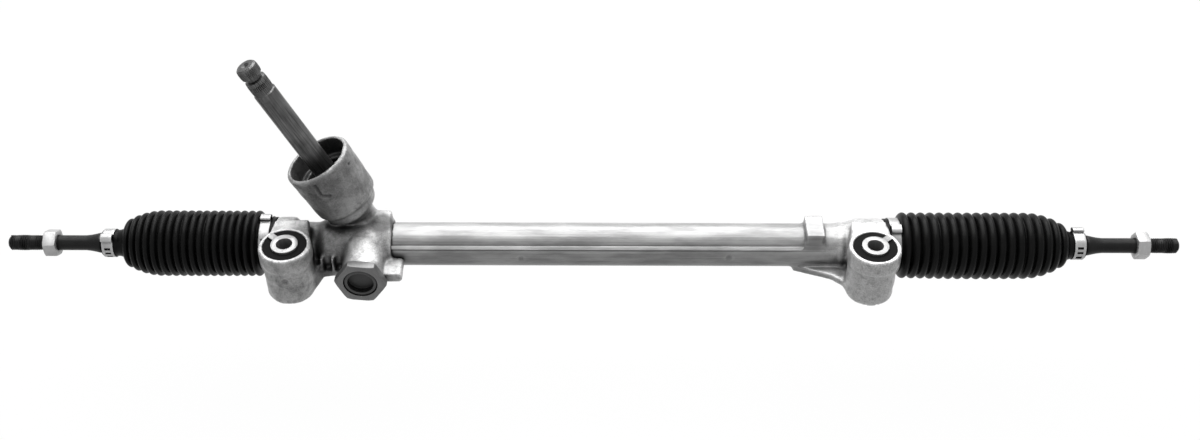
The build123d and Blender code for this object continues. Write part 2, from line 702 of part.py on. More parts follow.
def needle_bearing():
    """Drawn-cup bearing for the pinion's lower journal."""
    end = NEEDLE_AT + NEEDLE_LENGTH
    return PINION * ring(NEEDLE_AT, end, NEEDLE_RADIUS - SEAT_GAP, JOURNAL_RADIUS + RUNNING_GAP)


def foot_cap():
    """Pressed cap that closes the housing under the pinion."""
    cap = rod(PINION_FOOT, PINION_FOOT + FOOT_CAP, NEEDLE_RADIUS - SEAT_GAP)
    hollow = rod(PINION_FOOT + 1.5, PINION_FOOT + FOOT_CAP + 1, NEEDLE_RADIUS - 1.5)
    return PINION * (cap - hollow)


# --- yoke ---------------------------------------------------------------------------------
def across_rack(radius):
    """Rack-sized bar through the yoke, in the yoke's own frame."""
    return Rot(0, 0, 90) * rod(-2 * YOKE_BORE, 2 * YOKE_BORE, radius)


def yoke():
    """Cradle that presses the rack against the pinion, with a pocket for its spring."""
    body = rod(YOKE_ARM, YOKE_BACK, YOKE_BORE - RUNNING_GAP)
    body -= across_rack(RACK_RADIUS + RUNNING_GAP + LINER + SEAT_GAP)
    body -= rod(YOKE_BACK - SPRING_POCKET, YOKE_BACK + 1, SPRING_POCKET)
    body -= ring(O_RING_AT - 1.2, O_RING_AT + 1.2, YOKE_BORE + 1, YOKE_BORE - 2)
    return YOKE * body


def yoke_o_ring():
    return YOKE * Pos(O_RING_AT, 0, 0) * Rot(0, 90, 0) * Torus(YOKE_BORE - 1.05, 0.9)


def yoke_liner():
    """Low-friction strip between the yoke and the rack."""
    shell = across_rack(RACK_RADIUS + RUNNING_GAP + LINER) - across_rack(RACK_RADIUS + RUNNING_GAP)
    return YOKE * (shell & rod(YOKE_ARM + 1, YOKE_BACK, YOKE_BORE - 2))


def yoke_spring():
    """Coil spring from the yoke's pocket to the plug's."""
    start = YOKE_BACK - SPRING_POCKET + SPRING_WIRE + SEAT_GAP
    end = PLUG_INNER + SPRING_POCKET - SPRING_WIRE - SEAT_GAP
    height = end - start
    path = Helix(height / SPRING_TURNS, height, SPRING_RADIUS)
    section = Plane(path @ 0, z_dir=path % 0) * Circle(SPRING_WIRE)
    return YOKE * Pos(start, 0, 0) * Rot(0, 90, 0) * sweep(section, path, is_frenet=True)


def yoke_plug():
    """Adjuster screwed into the yoke bore, with a round socket in its face."""
    end = PLUG_INNER + PLUG_LENGTH
    plug = rod(PLUG_INNER, end, YOKE_BORE - SEAT_GAP, 1)
    plug -= rod(PLUG_INNER - 1, PLUG_INNER + SPRING_POCKET, SPRING_POCKET)
    plug -= rod(end - PLUG_SOCKET_DEPTH, end + 1, PLUG_SOCKET)
    return YOKE * plug


def yoke_lock_nut():
    nut = Rot(NUT_TURN, 0, 0) * hexagon(YOKE_FACE + SEAT_GAP, YOKE_FACE + NUT_THICKNESS, NUT_FLATS)
    return YOKE * (nut - rod(YOKE_FACE - 1, YOKE_FACE + 2 * NUT_THICKNESS, YOKE_BORE + SEAT_GAP))


# --- mounting bushes ----------------------------------------------------------------------
def bush_rubber(side):
    half = BOSS_HEIGHT / 2
    tube = extrude(Circle(BUSH_RADIUS - SEAT_GAP) - Circle(SLEEVE_RADIUS + SEAT_GAP), 2 * half - 2)
    return MOUNTS[side] * Pos(0, 0, -half + 1) * tube


def bush_sleeve(side):
    """Steel sleeve that the mounting bolt clamps, with a tab over the rubber."""
    half = BOSS_HEIGHT / 2 + SLEEVE_PROUD
    sleeve = Pos(0, 0, -half) * extrude(Circle(SLEEVE_RADIUS), 2 * half)
    tab_top = half - 0.5
    reach = (SLEEVE_RADIUS - 2, BUSH_RADIUS - 0.5)
    tab = block(reach, (-TAB_HALF, TAB_HALF), (tab_top - TAB_THICKNESS, tab_top))
    sleeve += Rot(0, 0, TAB_TURN[side]) * tab
    return MOUNTS[side] * (sleeve - Pos(0, 0, -2 * half) * extrude(Circle(BOLT_HOLE), 4 * half))


# --- rack ends and tie rods -----------------------------------------------------------------
def ball_and_neck(radius, neck):
    """Ball at the origin with its neck, as points for a revolve: arc, then the neck."""
    meets = math.sqrt(radius ** 2 - neck ** 2)
    arc = ThreePointArc((-radius, 0), (0, radius), (meets, neck))
    return arc, meets


def socket(side):
    """Steel ball socket with its threaded stud and two spanner flats."""
    cavity = BALL_JOINT_RADIUS + RUNNING_GAP + SEAT_WALL + SEAT_GAP
    body = turned(
        [
            (SOCKET_BACK - WASHER - STUD_LENGTH, STUD_RADIUS),
            (SOCKET_BACK, STUD_RADIUS),
            (SOCKET_BACK, SOCKET_RADIUS - 1),
            (SOCKET_BACK + 1, SOCKET_RADIUS),
            (SOCKET_MOUTH - 4, SOCKET_RADIUS),
            (SOCKET_MOUTH, SOCKET_RADIUS - 3),
        ]
    )
    body -= Sphere(cavity)
    body -= turned(
        [
            (0, MOUTH_RADIUS - 1),
            (SOCKET_MOUTH - 2, MOUTH_RADIUS - 1),
            (SOCKET_MOUTH + 1, MOUTH_RADIUS + 1),
        ]
    )
    across = (-SOCKET_RADIUS - 1, SOCKET_RADIUS + 1)
    for face in (-1, 1):
        span = sorted((face * (SOCKET_RADIUS - SPANNER_DEPTH), face * 2 * SOCKET_RADIUS))
        body -= block((SOCKET_BACK - 1, SOCKET_BACK + SPANNER_FLAT), across, span)
    return ENDS[side] * body


def ball_seat(side):
    """Plastic shell that the ball turns in."""
    inner = BALL_JOINT_RADIUS + RUNNING_GAP
    shell = Sphere(inner + SEAT_WALL) - Sphere(inner)
    return ENDS[side] * (shell & rod(-9.5, 6.5, 2 * BALL_JOINT_RADIUS))


def lock_washer(side):
    """Washer between the socket and the rack, which its edge locks."""
    start, end = SOCKET_BACK - WASHER + SEAT_GAP, SOCKET_BACK - SEAT_GAP
    return ENDS[side] * ring(start, end, RACK_RADIUS + WASHER_LIP, STUD_RADIUS + SEAT_GAP)


def tie_rod(side):
    """Ball, neck, cuff seat, flare and threaded end, turned from one bar."""
    arc, meets = ball_and_neck(BALL_JOINT_RADIUS, ROD_NECK)
    nut_face = ROD_LENGTH - LOCK_NUT_FROM_TIP[side] + LOCK_NUT / 2 + 0.5
    outline = Polyline(
        (meets, ROD_NECK),
        (NECK_END, ROD_NECK),
        (NECK_END + NECK_TAPER, ROD_RADIUS),
        (CUFF_SEAT_START - SEAT_TAPER, ROD_RADIUS),
        (CUFF_SEAT_START, CUFF_SEAT_RADIUS),
        (CUFF_SEAT_END, CUFF_SEAT_RADIUS),
        (CUFF_SEAT_END, ROD_FLARE),
        (CUFF_SEAT_END + FLARE_SHOULDER, ROD_FLARE),
        (CUFF_SEAT_END + FLARE_LENGTH, ROD_RADIUS),
        (nut_face, ROD_RADIUS),
        (nut_face, THREAD_RADIUS),
        (ROD_LENGTH - THREAD_CHAMFER, THREAD_RADIUS),
        (ROD_LENGTH, THREAD_RADIUS - THREAD_CHAMFER),
        (ROD_LENGTH, 0),
        (-BALL_JOINT_RADIUS, 0),
    )
    return ENDS[side] * revolve(make_face(arc + outline), Axis.X)


def lock_nut(side):
    middle = ROD_LENGTH - LOCK_NUT_FROM_TIP[side]
    start, end = middle - LOCK_NUT / 2, middle + LOCK_NUT / 2
    nut = hexagon(start, end, LOCK_NUT_FLATS, point_up=side == "left")
    return ENDS[side] * (nut - rod(start - 1, end + 1, ROD_RADIUS + RUNNING_GAP))


# --- bellows and clamps ------------------------------------------------------------------------
def bellows_span(side):
    """Ball-frame positions of the large cuff's outer end and of the small cuff's start."""
    end = LEFT_END if side == "left" else RIGHT_END
    inwards = abs(BALL_X[side] - end)
    return -inwards - SPIGOT_LENGTH + SEAT_GAP, CUFF_SEAT_START - 1


def envelope(distance):
    """Rib-tip radius at a distance short of the small cuff."""
    if distance >= TAPER:
        return BELLOWS_RADIUS
    share = distance / TAPER
    return END_RIB_RADIUS + (BELLOWS_RADIUS - END_RIB_RADIUS) * math.sin(share * math.pi / 2) ** 0.75


def bellows(side):
    """Ribbed rubber boot, from the housing's spigot to the tie rod's seat."""
    large, small = bellows_span(side)
    ribs_start = large + CUFF_LENGTH
    ribs_end = small - RIB_STANDOFF[side]
    pitch = (ribs_end - ribs_start) / RIBS
    tips = [ribs_start + (n + 0.5) * pitch for n in range(RIBS)]
    outer = [(large, CUFF_RADIUS), (ribs_start, CUFF_RADIUS)]
    for n, x in enumerate(tips):
        tip = envelope(small - x)
        outer += [(x - pitch * RIB_CREST, tip), (x + pitch * RIB_CREST, tip)]
        if n < RIBS - 1:
            outer.append((x + pitch / 2, envelope(small - x - pitch / 2) - RIB_DEPTH))
    outer += [(small, SMALL_CUFF_RADIUS), (small + SMALL_CUFF_LENGTH, SMALL_CUFF_RADIUS)]
    inner = [
        (large - 1, SPIGOT_RADIUS + SEAT_GAP),
        (ribs_start, SPIGOT_RADIUS + SEAT_GAP),
        (ribs_start + pitch, BELLOWS_RADIUS - RIB_DEPTH - RUBBER),
        (small - TAPER, BELLOWS_RADIUS - RIB_DEPTH - RUBBER),
        (tips[-1], CUFF_SEAT_RADIUS + SOFT_GAP),
        (small + SMALL_CUFF_LENGTH + 1, CUFF_SEAT_RADIUS + SOFT_GAP),
    ]
    return ENDS[side] * (turned(outer) - turned(inner))


def band_clamp(middle, width, radius, ear_turn):
    """Steel band with a crimped ear."""
    band = ring(middle - width / 2, middle + width / 2, radius + BAND, radius)
    span = (middle - width / 2, middle + width / 2)
    ear = block(span, (-EAR_HALF, EAR_HALF), (radius + BAND / 4, radius + EAR_HEIGHT))
    inside = EAR_HALF - EAR_WALL
    room = (radius - 1, radius + EAR_HEIGHT - EAR_ROOF)
    ear -= block((middle - width, middle + width), (-inside, inside), room)
    return Rot(ear_turn, 0, 0) * (band + ear)


def large_clamp(side):
    large, _ = bellows_span(side)
    middle = large + CUFF_LENGTH - LARGE_BAND_WIDTH / 2 - 0.5
    radius = CUFF_RADIUS + SEAT_GAP
    return ENDS[side] * band_clamp(middle, LARGE_BAND_WIDTH, radius, LARGE_EAR_TURN[side])


def small_clamp(side):
    _, small = bellows_span(side)
    middle = small + SMALL_CUFF_LENGTH - SMALL_BAND_WIDTH / 2 - 1
    radius = SMALL_CUFF_RADIUS + SOFT_GAP
    return ENDS[side] * band_clamp(middle, SMALL_BAND_WIDTH, radius, SMALL_EAR_TURN[side])


# --- every piece by name ----------------------------------------------------------------------------
def pieces():
    outer_race, inner_race = bearing_rings()
    yield "gear_housing", gear_housing()
    yield "tube_housing", tube_housing()
    yield "rack_bar", rack_bar()
    yield "rack_bush", rack_bush()
    yield "bush_o_rings", bush_o_rings()
    yield "pinion_shaft", pinion_shaft()
    yield "bearing_outer_ring", outer_race
    yield "bearing_inner_ring", inner_race
    yield "bearing_balls", bearing_balls()
    yield "bearing_snap_ring", snap_ring()
    yield "pinion_seal", pinion_seal()
    yield "needle_bearing", needle_bearing()
    yield "foot_cap", foot_cap()
    yield "yoke", yoke()
    yield "yoke_liner", yoke_liner()
    yield "yoke_o_ring", yoke_o_ring()
    yield "yoke_spring", yoke_spring()
    yield "yoke_plug", yoke_plug()
    yield "yoke_lock_nut", yoke_lock_nut()
    for side in ("left", "right"):
        yield f"bush_rubber_{side}", bush_rubber(side)
        yield f"bush_sleeve_{side}", bush_sleeve(side)
        yield f"ball_socket_{side}", socket(side)
        yield f"ball_seat_{side}", ball_seat(side)
        yield f"lock_washer_{side}", lock_washer(side)
        yield f"tie_rod_{side}", tie_rod(side)
        yield f"lock_nut_{side}", lock_nut(side)
        yield f"bellows_{side}", bellows(side)
        yield f"large_clamp_{side}", large_clamp(side)
        yield f"small_clamp_{side}", small_clamp(side)


os.makedirs("parts", exist_ok=True)
for name, shape in pieces():
    if isinstance(shape, list):
        shape = Compound(children=shape)
    export_step(shape, f"parts/{name}.step")
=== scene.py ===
import bpy
import bmesh
import json
import math
from contextlib import contextmanager
import numpy as np
from mathutils import Matrix, Vector


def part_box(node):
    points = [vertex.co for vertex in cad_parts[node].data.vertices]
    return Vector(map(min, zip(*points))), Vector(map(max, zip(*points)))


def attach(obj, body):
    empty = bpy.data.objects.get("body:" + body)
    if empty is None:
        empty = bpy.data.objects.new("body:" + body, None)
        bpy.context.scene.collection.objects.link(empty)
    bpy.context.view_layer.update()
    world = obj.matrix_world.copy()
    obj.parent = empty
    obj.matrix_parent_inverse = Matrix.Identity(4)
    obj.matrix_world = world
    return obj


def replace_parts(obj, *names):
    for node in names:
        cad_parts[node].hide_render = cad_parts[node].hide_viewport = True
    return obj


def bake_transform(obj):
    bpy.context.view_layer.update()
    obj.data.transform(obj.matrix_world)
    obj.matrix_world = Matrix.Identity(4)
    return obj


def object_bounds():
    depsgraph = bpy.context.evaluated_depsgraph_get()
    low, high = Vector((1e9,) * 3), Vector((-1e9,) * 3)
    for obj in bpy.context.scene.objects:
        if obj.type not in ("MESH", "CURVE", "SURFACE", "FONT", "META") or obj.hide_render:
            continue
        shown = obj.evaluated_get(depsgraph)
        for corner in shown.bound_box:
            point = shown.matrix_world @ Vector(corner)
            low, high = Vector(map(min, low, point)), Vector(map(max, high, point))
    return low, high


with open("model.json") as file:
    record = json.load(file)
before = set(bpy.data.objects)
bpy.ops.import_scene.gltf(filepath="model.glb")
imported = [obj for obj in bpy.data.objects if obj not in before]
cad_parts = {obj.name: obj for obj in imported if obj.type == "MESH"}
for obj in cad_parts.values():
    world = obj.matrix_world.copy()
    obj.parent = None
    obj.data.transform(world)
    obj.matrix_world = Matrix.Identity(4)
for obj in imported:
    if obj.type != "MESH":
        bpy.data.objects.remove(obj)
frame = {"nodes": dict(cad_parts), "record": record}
CAD_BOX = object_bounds()
NODES = frame["nodes"]


def joint(name):
    """A joint's entry in the record."""
    return next(j for j in frame["record"]["behaviour"]["joints"] if j["name"] == name)


# Places read from the frame, in metres.
RACK_AXIS = Vector(joint("tie_rod_left_swing")["pos_m"])
RACK_Y, RACK_Z = RACK_AXIS.y, RACK_AXIS.z
PINION_POINT = Vector(joint("pinion_turn")["pos_m"])
PINION_AXIS = Vector(joint("pinion_turn")["axis"]).normalized()
PINION_LEAN = math.acos(abs(PINION_AXIS.z))


# --- node helpers -------------------------------------------------------------------------------
class Shader:
    """A material under construction: makes nodes, links them and fills the Principled node."""

    def __init__(self, name):
        self.material = bpy.data.materials.new(name)
        self.material.use_nodes = True
        self.tree = self.material.node_tree
        self.surface = self.tree.nodes["Principled BSDF"]
        self.place = self.add("ShaderNodeTexCoord").outputs["Object"]

    def add(self, kind, **settings):
        node = self.tree.nodes.new(kind)
        for key, value in settings.items():
            setattr(node, key, value)
        return node

    def link(self, output, target):
        self.tree.links.new(output, target)

    def fill(self, socket, value):
        """Links an output to a socket, or sets a value on it. A colour may be one grey."""
        if hasattr(value, "is_linked"):
            self.link(value, socket)
        elif socket.type != "RGBA":
            socket.default_value = value
        elif isinstance(value, (int, float)):
            socket.default_value = (value, value, value, 1)
        else:
            socket.default_value = (*value, 1)

    def scaled(self, size, turn=(0, 0, 0)):
        """Object coordinates divided by a feature size in metres: one size, or one a direction."""
        mapping = self.add("ShaderNodeMapping")
        self.link(self.place, mapping.inputs["Vector"])
        mapping.vector_type = "TEXTURE"
        mapping.inputs["Scale"].default_value = size if isinstance(size, tuple) else (size,) * 3
        mapping.inputs["Rotation"].default_value = turn
        return mapping.outputs["Vector"]

    def noise(self, size, detail=3.0, rough=0.5, turn=(0, 0, 0)):
        """Uneven value from 0 to 1 with features of a given size."""
        node = self.add("ShaderNodeTexNoise")
        self.link(self.scaled(size, turn), node.inputs["Vector"])
        node.inputs["Scale"].default_value = 1.0
        node.inputs["Detail"].default_value = detail
        node.inputs["Roughness"].default_value = rough
        return node.outputs["Fac"]

    def ramp(self, value, stops):
        """Colours or greys spread over a value."""
        node = self.add("ShaderNodeValToRGB")
        self.link(value, node.inputs["Fac"])
        elements = node.color_ramp.elements
        while len(elements) < len(stops):
            elements.new(0.5)
        for element, (at, colour) in zip(elements, stops):
            element.position = at
            if isinstance(colour, (int, float)):
                colour = (colour, colour, colour)
            element.color = (*colour, 1)
        return node.outputs["Color"]

    def mix(self, share, low, high):
        """One colour turning into another by a share."""
        node = self.add("ShaderNodeMix", data_type="RGBA")
        for number, value in ((0, share), (6, low), (7, high)):
            self.fill(node.inputs[number], value)
        return node.outputs[2]

    def math(self, operation, *values):
        node = self.add("ShaderNodeMath", operation=operation)
        for socket, value in zip(node.inputs, values):
            self.fill(socket, value)
        return node.outputs[0]

    def times(self, a, b):
        """Two colours multiplied."""
        node = self.add("ShaderNodeMix", data_type="RGBA", blend_type="MULTIPLY")
        node.inputs[0].default_value = 1.0
        self.link(a, node.inputs[6])
        self.link(b, node.inputs[7])
        return node.outputs[2]

    def edge_wear_and_crease_shade(self, crease_shade, bright):
        """Painted shade in creases, and edges lighter as wear and as a painted highlight."""
        shape = self.add("ShaderNodeNewGeometry").outputs["Pointiness"]
        return self.ramp(shape, [(0.46, crease_shade), (0.5, 1.0), (0.56, bright)])

    def hollow_shade(self, reach, dark):
        """Painted shade where a surface is closed in by its neighbours."""
        node = self.add("ShaderNodeAmbientOcclusion", samples=8)
        node.inputs["Distance"].default_value = reach
        return self.ramp(node.outputs["AO"], [(0.35, dark), (0.92, 1.0)])

    def axis_value(self, axis, span=0.6):
        """Place along a row axis, 0 at the origin and 1 at span."""
        parts = self.add("ShaderNodeSeparateXYZ")
        self.link(self.place, parts.inputs[0])
        return self.math("DIVIDE", parts.outputs[axis], span)

    def patch(self, place, radius, gain):
        """A gain on the colour round a place, fading out over a radius."""
        away = self.add("ShaderNodeVectorMath", operation="DISTANCE")
        self.link(self.place, away.inputs[0])
        away.inputs[1].default_value = place
        return self.ramp(self.math("DIVIDE", away.outputs["Value"], radius), [(0.6, gain), (1.0, 1.0)])

    def upward(self):
        """How far a surface faces up: 0 straight down, 0.5 level and 1 straight up."""
        parts = self.add("ShaderNodeSeparateXYZ")
        self.link(self.add("ShaderNodeNewGeometry").outputs["Normal"], parts.inputs[0])
        return self.math("MULTIPLY_ADD", parts.outputs["Z"], 0.5, 0.5)

    def bump(self, height, depth, strength=1.0, below=None):
        """Small relief of a depth in metres, on top of a relief below it."""
        node = self.add("ShaderNodeBump")
        self.link(height, node.inputs["Height"])
        node.inputs["Distance"].default_value = depth
        node.inputs["Strength"].default_value = strength
        if below is not None:
            self.link(below, node.inputs["Normal"])
        return node.outputs["Normal"]

    def finish(self, **inputs):
        """Fills the Principled node's sockets, each named with _ for a space."""
        for name, value in inputs.items():
            self.fill(self.surface.inputs[name.replace("_", " ")], value)
        return self.material


# --- finishes -----------------------------------------------------------------------------------
# Feature sizes and reliefs of a casting's skin, in metres, and the greys of its blots.
CLOUD_SIZE = 0.016
BLOT_SIZE = 0.0045
GRAIN_SIZE = 0.0011
LUMP_DEPTH = 0.0005
PEBBLE_DEPTH = 0.0003
BLOT_GREYS = [(0.34, 0.72), (0.5, 1.0)]

# Painted light and shade on the gear housing, each as place, radius and gain on the colour: a painted
# shadow on the shoulder, a painted highlight on the yoke's top and painted shade on the flank.
SHOULDER_SHADOW = ((0.079, 0.041, 0.016), 0.015, 0.24)
YOKE_TOP_HIGHLIGHT = ((0.068, 0.007, 0.011), 0.015, 1.9)
FLANK_SHADE = ((0.025, 0.008, -0.018), 0.015, 0.40)


def cast_aluminium(name, bright=0.53):
    """Die-cast skin: pebbled grain, cloudy stains, edges lighter as wear and painted highlight, painted
    shade in creases and hollows, painted shade on the upper cup and painted patches of light and shade.
    """
    s = Shader(name)
    clouds = s.noise(CLOUD_SIZE, 5.0, 0.65)
    blots = s.noise(BLOT_SIZE, 3.0, 0.6)
    grains = s.noise(GRAIN_SIZE, 2.0, 0.5)
    tone = s.mix(
        s.ramp(clouds, [(0.38, 0.0), (0.60, 1.0)]),
        s.ramp(grains, [(0.3, bright * 0.42), (0.7, bright * 0.68)]),
        s.ramp(grains, [(0.3, bright * 0.84), (0.7, bright * 1.12)]),
    )
    stained = s.times(tone, s.ramp(blots, BLOT_GREYS))
    # Painted shade: the upper cup darker.
    shaded_and_lit = s.times(stained, s.ramp(s.axis_value("Z"), [(0.055, 1.0), (0.10, 0.52)]))
    # Painted patches: shadow on the shoulder, highlight on the yoke's top, shade on the flank.
    for place, radius, gain in (SHOULDER_SHADOW, YOKE_TOP_HIGHLIGHT, FLANK_SHADE):
        shaded_and_lit = s.times(shaded_and_lit, s.patch(place, radius, gain))
    # Painted shade in creases and in near and wide hollows; edges lighter as wear and painted highlight.
    edge_worn_crease_shaded = s.times(shaded_and_lit, s.edge_wear_and_crease_shade(0.75, 1.6))
    shaded_close = s.times(edge_worn_crease_shaded, s.hollow_shade(0.012, 0.15))
    colour = s.times(shaded_close, s.hollow_shade(0.040, 0.16))
    rough = s.ramp(clouds, [(0.3, 0.48), (0.7, 0.32)])
    lumps = s.bump(blots, LUMP_DEPTH, 0.6)
    pebbles = s.bump(grains, PEBBLE_DEPTH, 0.7, lumps)
    return s.finish(
        Base_Color=colour, Metallic=0.22, Roughness=rough, Specular_IOR_Level=0.4, Normal=pebbles,
    )


# Painted light and shade of the tube and of its bead, as greys from surfaces that face down to those that
# face up: the tube darker facing down and in a band facing steeply up, the bead lighter facing up.
TUBE_SHADE_BANDS = [(0.26, 0.66), (0.48, 0.95), (0.72, 1.0), (0.80, 0.62), (0.89, 1.0)]
BEAD_LIGHT_BANDS = [(0.3, 0.8), (0.7, 1.35)]


def tube_aluminium(name, light_and_shade_bands=TUBE_SHADE_BANDS):
    """Smooth bright tube, streaked along, with painted shade underneath and in hollows, and a pebbled cast
    end.
    """
    s = Shader(name)
    streaks = s.noise((0.12, 0.0014, 0.0014), 3.0, 0.6)
    clouds = s.noise((0.05, 0.012, 0.012), 4.0, 0.6)
    grains = s.noise(GRAIN_SIZE, 2.0, 0.5)
    blots = s.noise(BLOT_SIZE, 3.0, 0.6)
    smooth = s.mix(
        s.ramp(clouds, [(0.38, 0.0), (0.62, 1.0)]),
        s.ramp(streaks, [(0.3, 0.19), (0.7, 0.26)]),
        s.ramp(streaks, [(0.3, 0.31), (0.7, 0.41)]),
    )
    pebbled = s.times(s.ramp(grains, [(0.3, 0.36), (0.7, 0.62)]), s.ramp(blots, BLOT_GREYS))
    # Painted shade and light by how far each surface faces up.
    light_shaded = s.times(smooth, s.ramp(s.upward(), light_and_shade_bands))
    cast_end = s.ramp(s.axis_value("X"), [(0.78, 0.0), (0.84, 1.0)])
    # Edges lighter as wear and painted highlight; painted shade in creases and hollows.
    edge_worn_crease_shaded = s.times(s.mix(cast_end, light_shaded, pebbled), s.edge_wear_and_crease_shade(0.75, 1.6))
    colour = s.times(edge_worn_crease_shaded, s.hollow_shade(0.014, 0.15))
    along = s.bump(streaks, 0.00014, 0.5)
    lumps = s.bump(s.times(cast_end, blots), LUMP_DEPTH, 0.6, along)
    pebbles = s.bump(s.times(cast_end, grains), PEBBLE_DEPTH, 0.7, lumps)
    return s.finish(
        Base_Color=colour, Metallic=0.28, Roughness=0.33, Specular_IOR_Level=0.4, Normal=pebbles,
    )


def machined_metal(name, grey, rough=0.3):
    """Turned or ground metal with fine tool lines."""
    s = Shader(name)
    lines = s.noise((0.0005, 0.004, 0.004), 3.0, 0.6)
    stains = s.noise(0.012, 4.0, 0.55)
    colour = s.mix(
        s.ramp(stains, [(0.35, 0.0), (0.7, 1.0)]),
        s.ramp(lines, [(0.3, grey * 0.82), (0.7, grey * 0.95)]),
        s.ramp(lines, [(0.3, grey * 0.95), (0.7, grey * 1.12)]),
    )
    # Painted shade in creases and hollows; edges lighter as wear and painted highlight.
    edge_worn_crease_shaded = s.times(colour, s.edge_wear_and_crease_shade(0.85, 1.5))
    return s.finish(
        Base_Color=s.times(edge_worn_crease_shaded, s.hollow_shade(0.012, 0.12)), Metallic=0.6,
        Roughness=s.ramp(stains, [(0.3, rough + 0.1), (0.7, rough)]),
        Normal=s.bump(lines, 0.00008, 0.4),
    )


def dark_steel(name, grey=0.09):
    """Phosphated and oiled steel with faint draw marks along the shaft."""
    s = Shader(name)
    turn = (0, -PINION_LEAN, 0)
    marks = s.noise((0.0009, 0.0009, 0.03), 3.0, 0.6, turn)
    stains = s.noise((0.01, 0.01, 0.02), 4.0, 0.6, turn)
    colour = s.mix(
        s.ramp(stains, [(0.35, 0.0), (0.7, 1.0)]),
        s.ramp(marks, [(0.35, grey * 0.4), (0.65, grey)]),
        s.ramp(marks, [(0.35, grey * 0.7), (0.65, grey * 1.9)]),
    )
    # Painted shade in hollows.
    return s.finish(
        Base_Color=s.times(colour, s.hollow_shade(0.008, 0.2)), Metallic=0.85,
        Roughness=s.ramp(stains, [(0.3, 0.42), (0.7, 0.32)]), Normal=s.bump(marks, 0.0001, 0.4),
    )


def black_finish(name, grey=0.022, rough=0.38):
    """Black oiled or painted steel."""
    s = Shader(name)
    stains = s.noise(0.006, 4.0, 0.6)
    grain = s.noise(0.0006, 2.0, 0.5)
    return s.finish(
        Base_Color=s.ramp(stains, [(0.3, grey * 0.7), (0.75, grey * 1.6)]), Specular_IOR_Level=0.15,
        Roughness=s.ramp(stains, [(0.3, rough + 0.12), (0.7, rough)]), Normal=s.bump(grain, 0.00008, 0.4),
    )


def rubber(name, grey=0.014, rough=0.42):
    """Moulded black rubber with a light bloom of dust."""
    s = Shader(name)
    bloom = s.noise(0.018, 4.0, 0.6)
    skin = s.noise(0.0007, 3.0, 0.6)
    return s.finish(
        Base_Color=s.ramp(bloom, [(0.35, grey * 0.7), (0.75, grey * 1.8)]),
        Roughness=s.ramp(bloom, [(0.3, rough), (0.75, rough + 0.15)]), Specular_IOR_Level=0.08,
        Normal=s.bump(skin, 0.00008, 0.35),
    )


def plastic(name, colour):
    """Moulded plastic, a little cloudy."""
    s = Shader(name)
    skin = s.noise(0.0012, 3.0, 0.6)
    tint = s.noise(0.01, 3.0, 0.5)
    return s.finish(
        Base_Color=s.mix(tint, [c * 0.9 for c in colour], colour), Roughness=0.45,
        Normal=s.bump(skin, 0.00006, 0.4),
    )


FINISHES = {
    "cast_aluminium": cast_aluminium("cast_aluminium_skin"),
    "tube_aluminium": tube_aluminium("tube_aluminium_skin"),
    "ground_steel": machined_metal("ground_steel", 0.13),
    "dark_steel": dark_steel("phosphated_steel"),
    "zinc_steel": machined_metal("zinc_plate", 0.36, rough=0.34),
    "yoke_plug_metal": machined_metal("turned_plug", 0.05, rough=0.36),
    "black_rod": black_finish("black_rod_steel", 0.008, 0.3),
    "black_rubber": rubber("moulded_rubber", 0.004, 0.7),
    "bellows_rubber": rubber("bellows_rubber", 0.003, 0.30),
    "white_plastic": plastic("pale_plastic", (0.78, 0.77, 0.72)),
}
OWN_FINISHES = {
    "parting_bead": tube_aluminium("bead_aluminium_skin", BEAD_LIGHT_BANDS),
    "yoke_lock_nut": machined_metal("dulled_nut_steel", 0.13, rough=0.36),
    "bush_sleeve_left": machined_metal("sleeve_steel_left", 0.24, rough=0.38),
    "bush_sleeve_right": machined_metal("sleeve_steel_right", 0.24, rough=0.38),
}


def dress(mesh, finish):
    """Gives every face of a mesh one finish."""
    mesh.materials.clear()
    mesh.materials.append(finish)
    for face in mesh.polygons:
        face.material_index = 0


def dress_cad_nodes():
    """Gives each CAD node its own finish, or else that of its material slot."""
    slots = {part["node"]: part["material_slot"] for part in frame["record"]["subparts"]}
    for name, node in NODES.items():
        dress(node.data, OWN_FINISHES.get(name, FINISHES[slots[name]]))


# --- making meshes ------------------------------------------------------------------------------
# Corners nearer to each other than this are one corner.
MERGE = 1e-6


@contextmanager
def edited(mesh):
    """A mesh opened for editing, and written back at the end."""
    work = bmesh.new()
    work.from_mesh(mesh)
    yield work
    work.to_mesh(mesh)
    work.free()


def new_piece(name, mesh, finish, body, smooth_angle=40):
    """Object at the origin with its place in its mesh, a finish and a body to ride on."""
    piece = bpy.data.objects.new(name, mesh)
    bpy.context.collection.objects.link(piece)
    dress(mesh, finish)
    mesh.shade_smooth()
    mesh.set_sharp_from_angle(angle=math.radians(smooth_angle))
    if body:
        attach(piece, body)
    return piece


def with_modifiers(piece):
    """Applies the piece's modifiers to its mesh."""
    graph = bpy.context.evaluated_depsgraph_get()
    mesh = bpy.data.meshes.new_from_object(piece.evaluated_get(graph))
    piece.modifiers.clear()
    piece.data = mesh
    return piece


def modified(mesh, settings):
    """Mesh after a list of (modifier kind, values)."""
    helper = bpy.data.objects.new("helper", mesh)
    bpy.context.collection.objects.link(helper)
    for kind, values in settings:
        modifier = helper.modifiers.new(kind.lower(), kind)
        for key, value in values.items():
            setattr(modifier, key, value)
    with_modifiers(helper)
    result = helper.data
    bpy.data.objects.remove(helper)
    return result


def mesh_of(verts, faces, merge=MERGE, closed=False):
    """Mesh of corners and faces, with its doubled corners merged."""
    mesh = bpy.data.meshes.new("shape")
    mesh.from_pydata([tuple(v) for v in verts], [], faces)
    with edited(mesh) as work:
        bmesh.ops.remove_doubles(work, verts=work.verts, dist=merge)
        if closed:
            bmesh.ops.recalc_face_normals(work, faces=work.faces)
    return mesh


